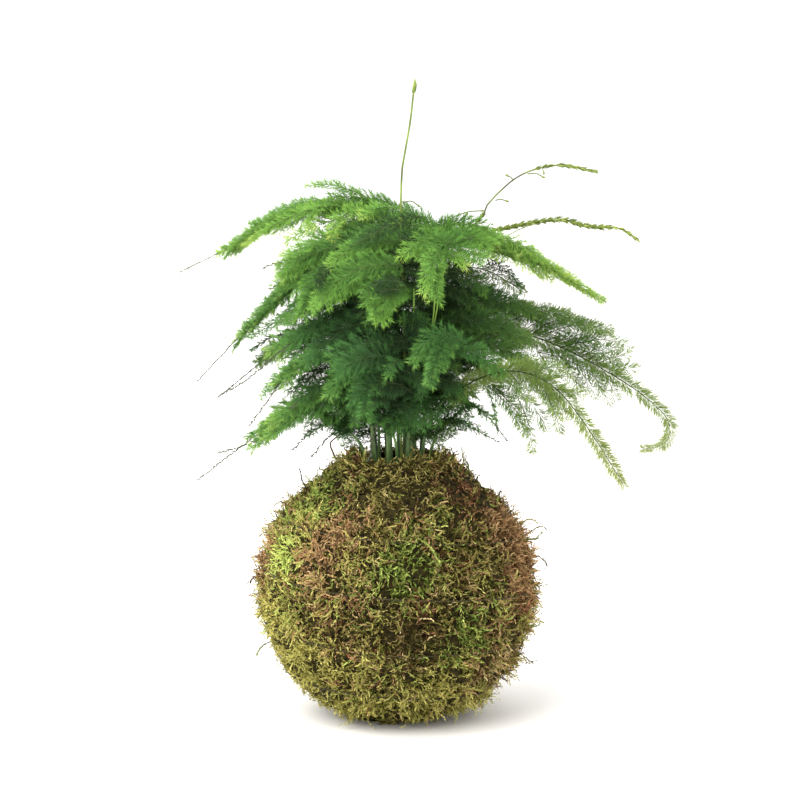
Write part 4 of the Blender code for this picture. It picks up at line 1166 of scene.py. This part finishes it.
# Stretches of the shoots where young needles lie against the stem: part of its length from and to,
# needles for each mm, their length in mm and their lean in degrees
HUGGED = {
    "arching_shoot": ((0.49, 0.57, 22, 5, 36), (0.67, 0.7, 12, 2.8, 32), (0.86, 0.9, 9, 2.6, 22),
                      (0.91, 1.0, 12, 3.2, 20)),
    "low_shoot": ((0.55, 0.66, 12, 2.8, 34), (0.66, 0.93, 18, 3.0, 30), (0.93, 1.0, 6, 2.4, 16)),
}

TUFT_GAP = 3.2 * MM  # between the knots that these needles gather round

# Side twigs of the shoots, each with a bud at its end: points in mm
TWIGS = {
    "arching_shoot": (
        ((20, 10, 211), (25, 10, 214.5), (31, 9, 216.5), (36, 8, 217)),
        ((42.5, 6, 221.5), (44.5, 5, 222), (46.5, 4.5, 221.5)),
        ((50, 4, 230), (49, 3.5, 231.3), (48, 3, 231.8)),
        ((56, 4, 232.8), (59.5, 3, 233), (62, 2, 231.8)),
        ((62, 3, 236), (62.4, 2.5, 235), (62.6, 2, 234)),
        ((26, 9, 209), (28.5, 8.5, 212), (30, 8, 215)),
    ),
    "low_shoot": (
        ((48, 9, 206.5), (53, 9, 209), (58, 10, 211)),
        ((3, -9, 221), (6.5, -9, 221.6), (9, -9, 220)),
    ),
}


def shoot_piece(name, seed, material):
    """A young shoot on the CAD shoot's midline, with its needles still folded against it."""
    rng = np.random.default_rng(seed)
    growth = Growth()
    points = welded(name)[0]
    line = spaced(centres(rings(name, points[np.argmin(points[:, 2])], STEM_SIDES)), 1 * MM)
    start, end, far = SHOOT_BENDS[name]
    part = ((np.linspace(0, 1, len(line)) - start) / (end - start)).clip(0, 1)
    line += np.sin(math.pi * part)[:, None] * np.array(far) * MM
    ways = headings(line)
    radii = np.linspace(*SHOOT_RADII[name], len(line)) * MM
    age = SHOOT_AGES[name] + 0.25 * waves(line, 8 * MM, seed).clip(-1, 1)
    growth.tube(line, radii, 6, age.clip(0.02, 0.95), 0.5)
    for start, end, per_mm, length, lean in HUGGED.get(name, ()):
        count = round((end - start) * len(line) * per_mm)
        t = rng.uniform(start, end, count)
        knot = TUFT_GAP / (len(line) * MM)
        t += 0.35 * (np.round(t / knot) * knot - t)
        feet, dirs = along(line, ways, t)
        first, _ = across(dirs, rng)
        tilt = np.radians(rng.uniform(0.5, 1.5, count) * lean)
        way = unit(swung(dirs, first, tilt))
        size = length * rng.uniform(0.6, 1.1, count) * MM
        growth.slivers(feet + radii[0] * first, way, first, size, 0.6 * MM,
                       rng.uniform(0.12, 0.9, count), rng.uniform(0, 0.98, count))
    for rows in TWIGS.get(name, ()):
        twig = curve(rows, 1 * MM)
        growth.tube(twig, 0.24 * MM, 4, 0.3, 0.4)
        bud(growth, twig[-1], unit(twig[-1] - twig[-2]), 1.8 * MM, 0.42 * MM, rng)
    if name == "tall_shoot":
        bud(growth, line[-1] - 5.5 * MM * ways[-1], ways[-1], 6.3 * MM, 0.85 * MM, rng)
    else:
        bud(growth, line[-1] - 2 * MM * ways[-1], ways[-1], 4 * MM, 0.5 * MM, rng)
    made = growth.finish(f"living_{name}", material)
    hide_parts(name)


def bud(growth, foot, way, length, radius, rng):
    """A closed spindle with a few pointed scales over it."""
    t = np.linspace(0, 1, 6)
    radii = radius * np.array((0.5, 0.95, 1, 0.8, 0.45, 0.1))
    growth.tube(foot + length * t[:, None] * way, radii, 6, 0.5 + 0.1 * t, 0.3)
    count = 12
    ways = np.tile(way, (count, 1))
    first, _ = across(ways, rng)
    t = rng.uniform(0, 0.7, count)
    feet = foot + (length * t)[:, None] * way + 0.8 * radius * first
    growth.slivers(feet, unit(ways + 0.3 * first), first, rng.uniform(0.3, 0.5, count) * length,
                   1.1 * radius, rng.uniform(0.3, 0.9, count), rng.uniform(0, 0.98, count))


# ---------------------------------------------------------------- stage


def build_stage():
    """A pale floor, soft light from the upper left, and the camera."""
    scene = bpy.context.scene
    scene.view_settings.view_transform = "Standard"
    world = bpy.data.worlds.new("studio")
    scene.world = world
    world.use_nodes = True
    world.node_tree.nodes["Background"].inputs["Color"].default_value = (1, 1, 1, 1)
    world.node_tree.nodes["Background"].inputs["Strength"].default_value = 1.3

    mesh = bpy.data.meshes.new("floor")
    mesh.from_pydata([(-6, -6, 0), (6, -6, 0), (6, 6, 0), (-6, 6, 0)], [], [(0, 1, 2, 3)])
    floor = bpy.data.objects.new("floor", mesh)
    made, _, shader = new_material("floor")
    shader.inputs["Base Color"].default_value = (0.99, 0.965, 0.935, 1)
    shader.inputs["Roughness"].default_value = 0.9
    mesh.materials.append(made)
    scene.collection.objects.link(floor)

    light = bpy.data.lights.new("key", "SUN")
    light.energy = 3.0
    light.angle = math.radians(60)
    key = bpy.data.objects.new("key", light)
    scene.collection.objects.link(key)
    key.rotation_euler = (math.radians(26), math.radians(-34), 0)

    camera = bpy.data.cameras.new("camera")
    camera.lens = 115.6
    camera.sensor_width = 36
    camera.clip_end = 50
    made = bpy.data.objects.new("camera", camera)
    scene.collection.objects.link(made)
    tilt, far = math.radians(6), 1.1
    aim = np.array((1.7, 0, 136.4)) * MM
    made.location = aim + far * np.array((0, -math.cos(tilt), math.sin(tilt)))
    made.rotation_euler = (math.pi / 2 - tilt, 0, 0)
    scene.camera = made


def build():
    build_stage()
    moss = moss_material()
    sheets = [f"moss_sheet_{tier}_{i}" for tier in ("lower", "upper") for i in (1, 2, 3, 4)]
    nodes = ["moss_base", *sheets, "moss_collar"]
    for seed, node in enumerate(nodes):
        moss_piece(node, 100 + seed, moss)
    loose_strands(moss)
    needles = {
        look: needle_material(f"{look}_needles", NEEDLE_STOPS, colours)
        for look, colours in NEEDLE_COLOURS.items()
    }
    for seed, name in enumerate(FROND_LOOKS):
        fern_piece(name, 300 + seed, needles)
    young = needle_material("young_needles", YOUNG_STOPS, YOUNG_COLOURS)
    for seed, name in enumerate(SHOOT_RADII):
        shoot_piece(name, 400 + seed, young)

    stem = grained_material("stem", srgb(64, 94, 44), srgb(116, 150, 82), 3 * MM, 6, (0.4, 0.6), 0.2)
    bark = grained_material("bark", srgb(58, 44, 30), srgb(112, 90, 62), 1.2 * MM, 4, (0.7, 0.9), 0.6)
    soil = grained_material("soil", srgb(30, 22, 16), srgb(70, 52, 36), 2 * MM, 1, (0.85, 1.0), 1.0)
    root = grained_material("root", srgb(120, 94, 60), srgb(170, 140, 98), 1.5 * MM, 4, (0.7, 0.9), 0.5)
    thread = grained_material("thread", srgb(36, 34, 12), srgb(70, 64, 28), 0.5 * MM, 1, (0.8, 0.95), 0.8)
    looks = {"soil_core": soil, "root_crown": root, "binding_thread": thread, "bare_twig": bark}
    looks.update({f"stem_{name}": stem for name in FROND_LOOKS})
    for node, material in looks.items():
        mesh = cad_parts[node].data
        mesh.materials.clear()
        mesh.materials.append(material)


build()
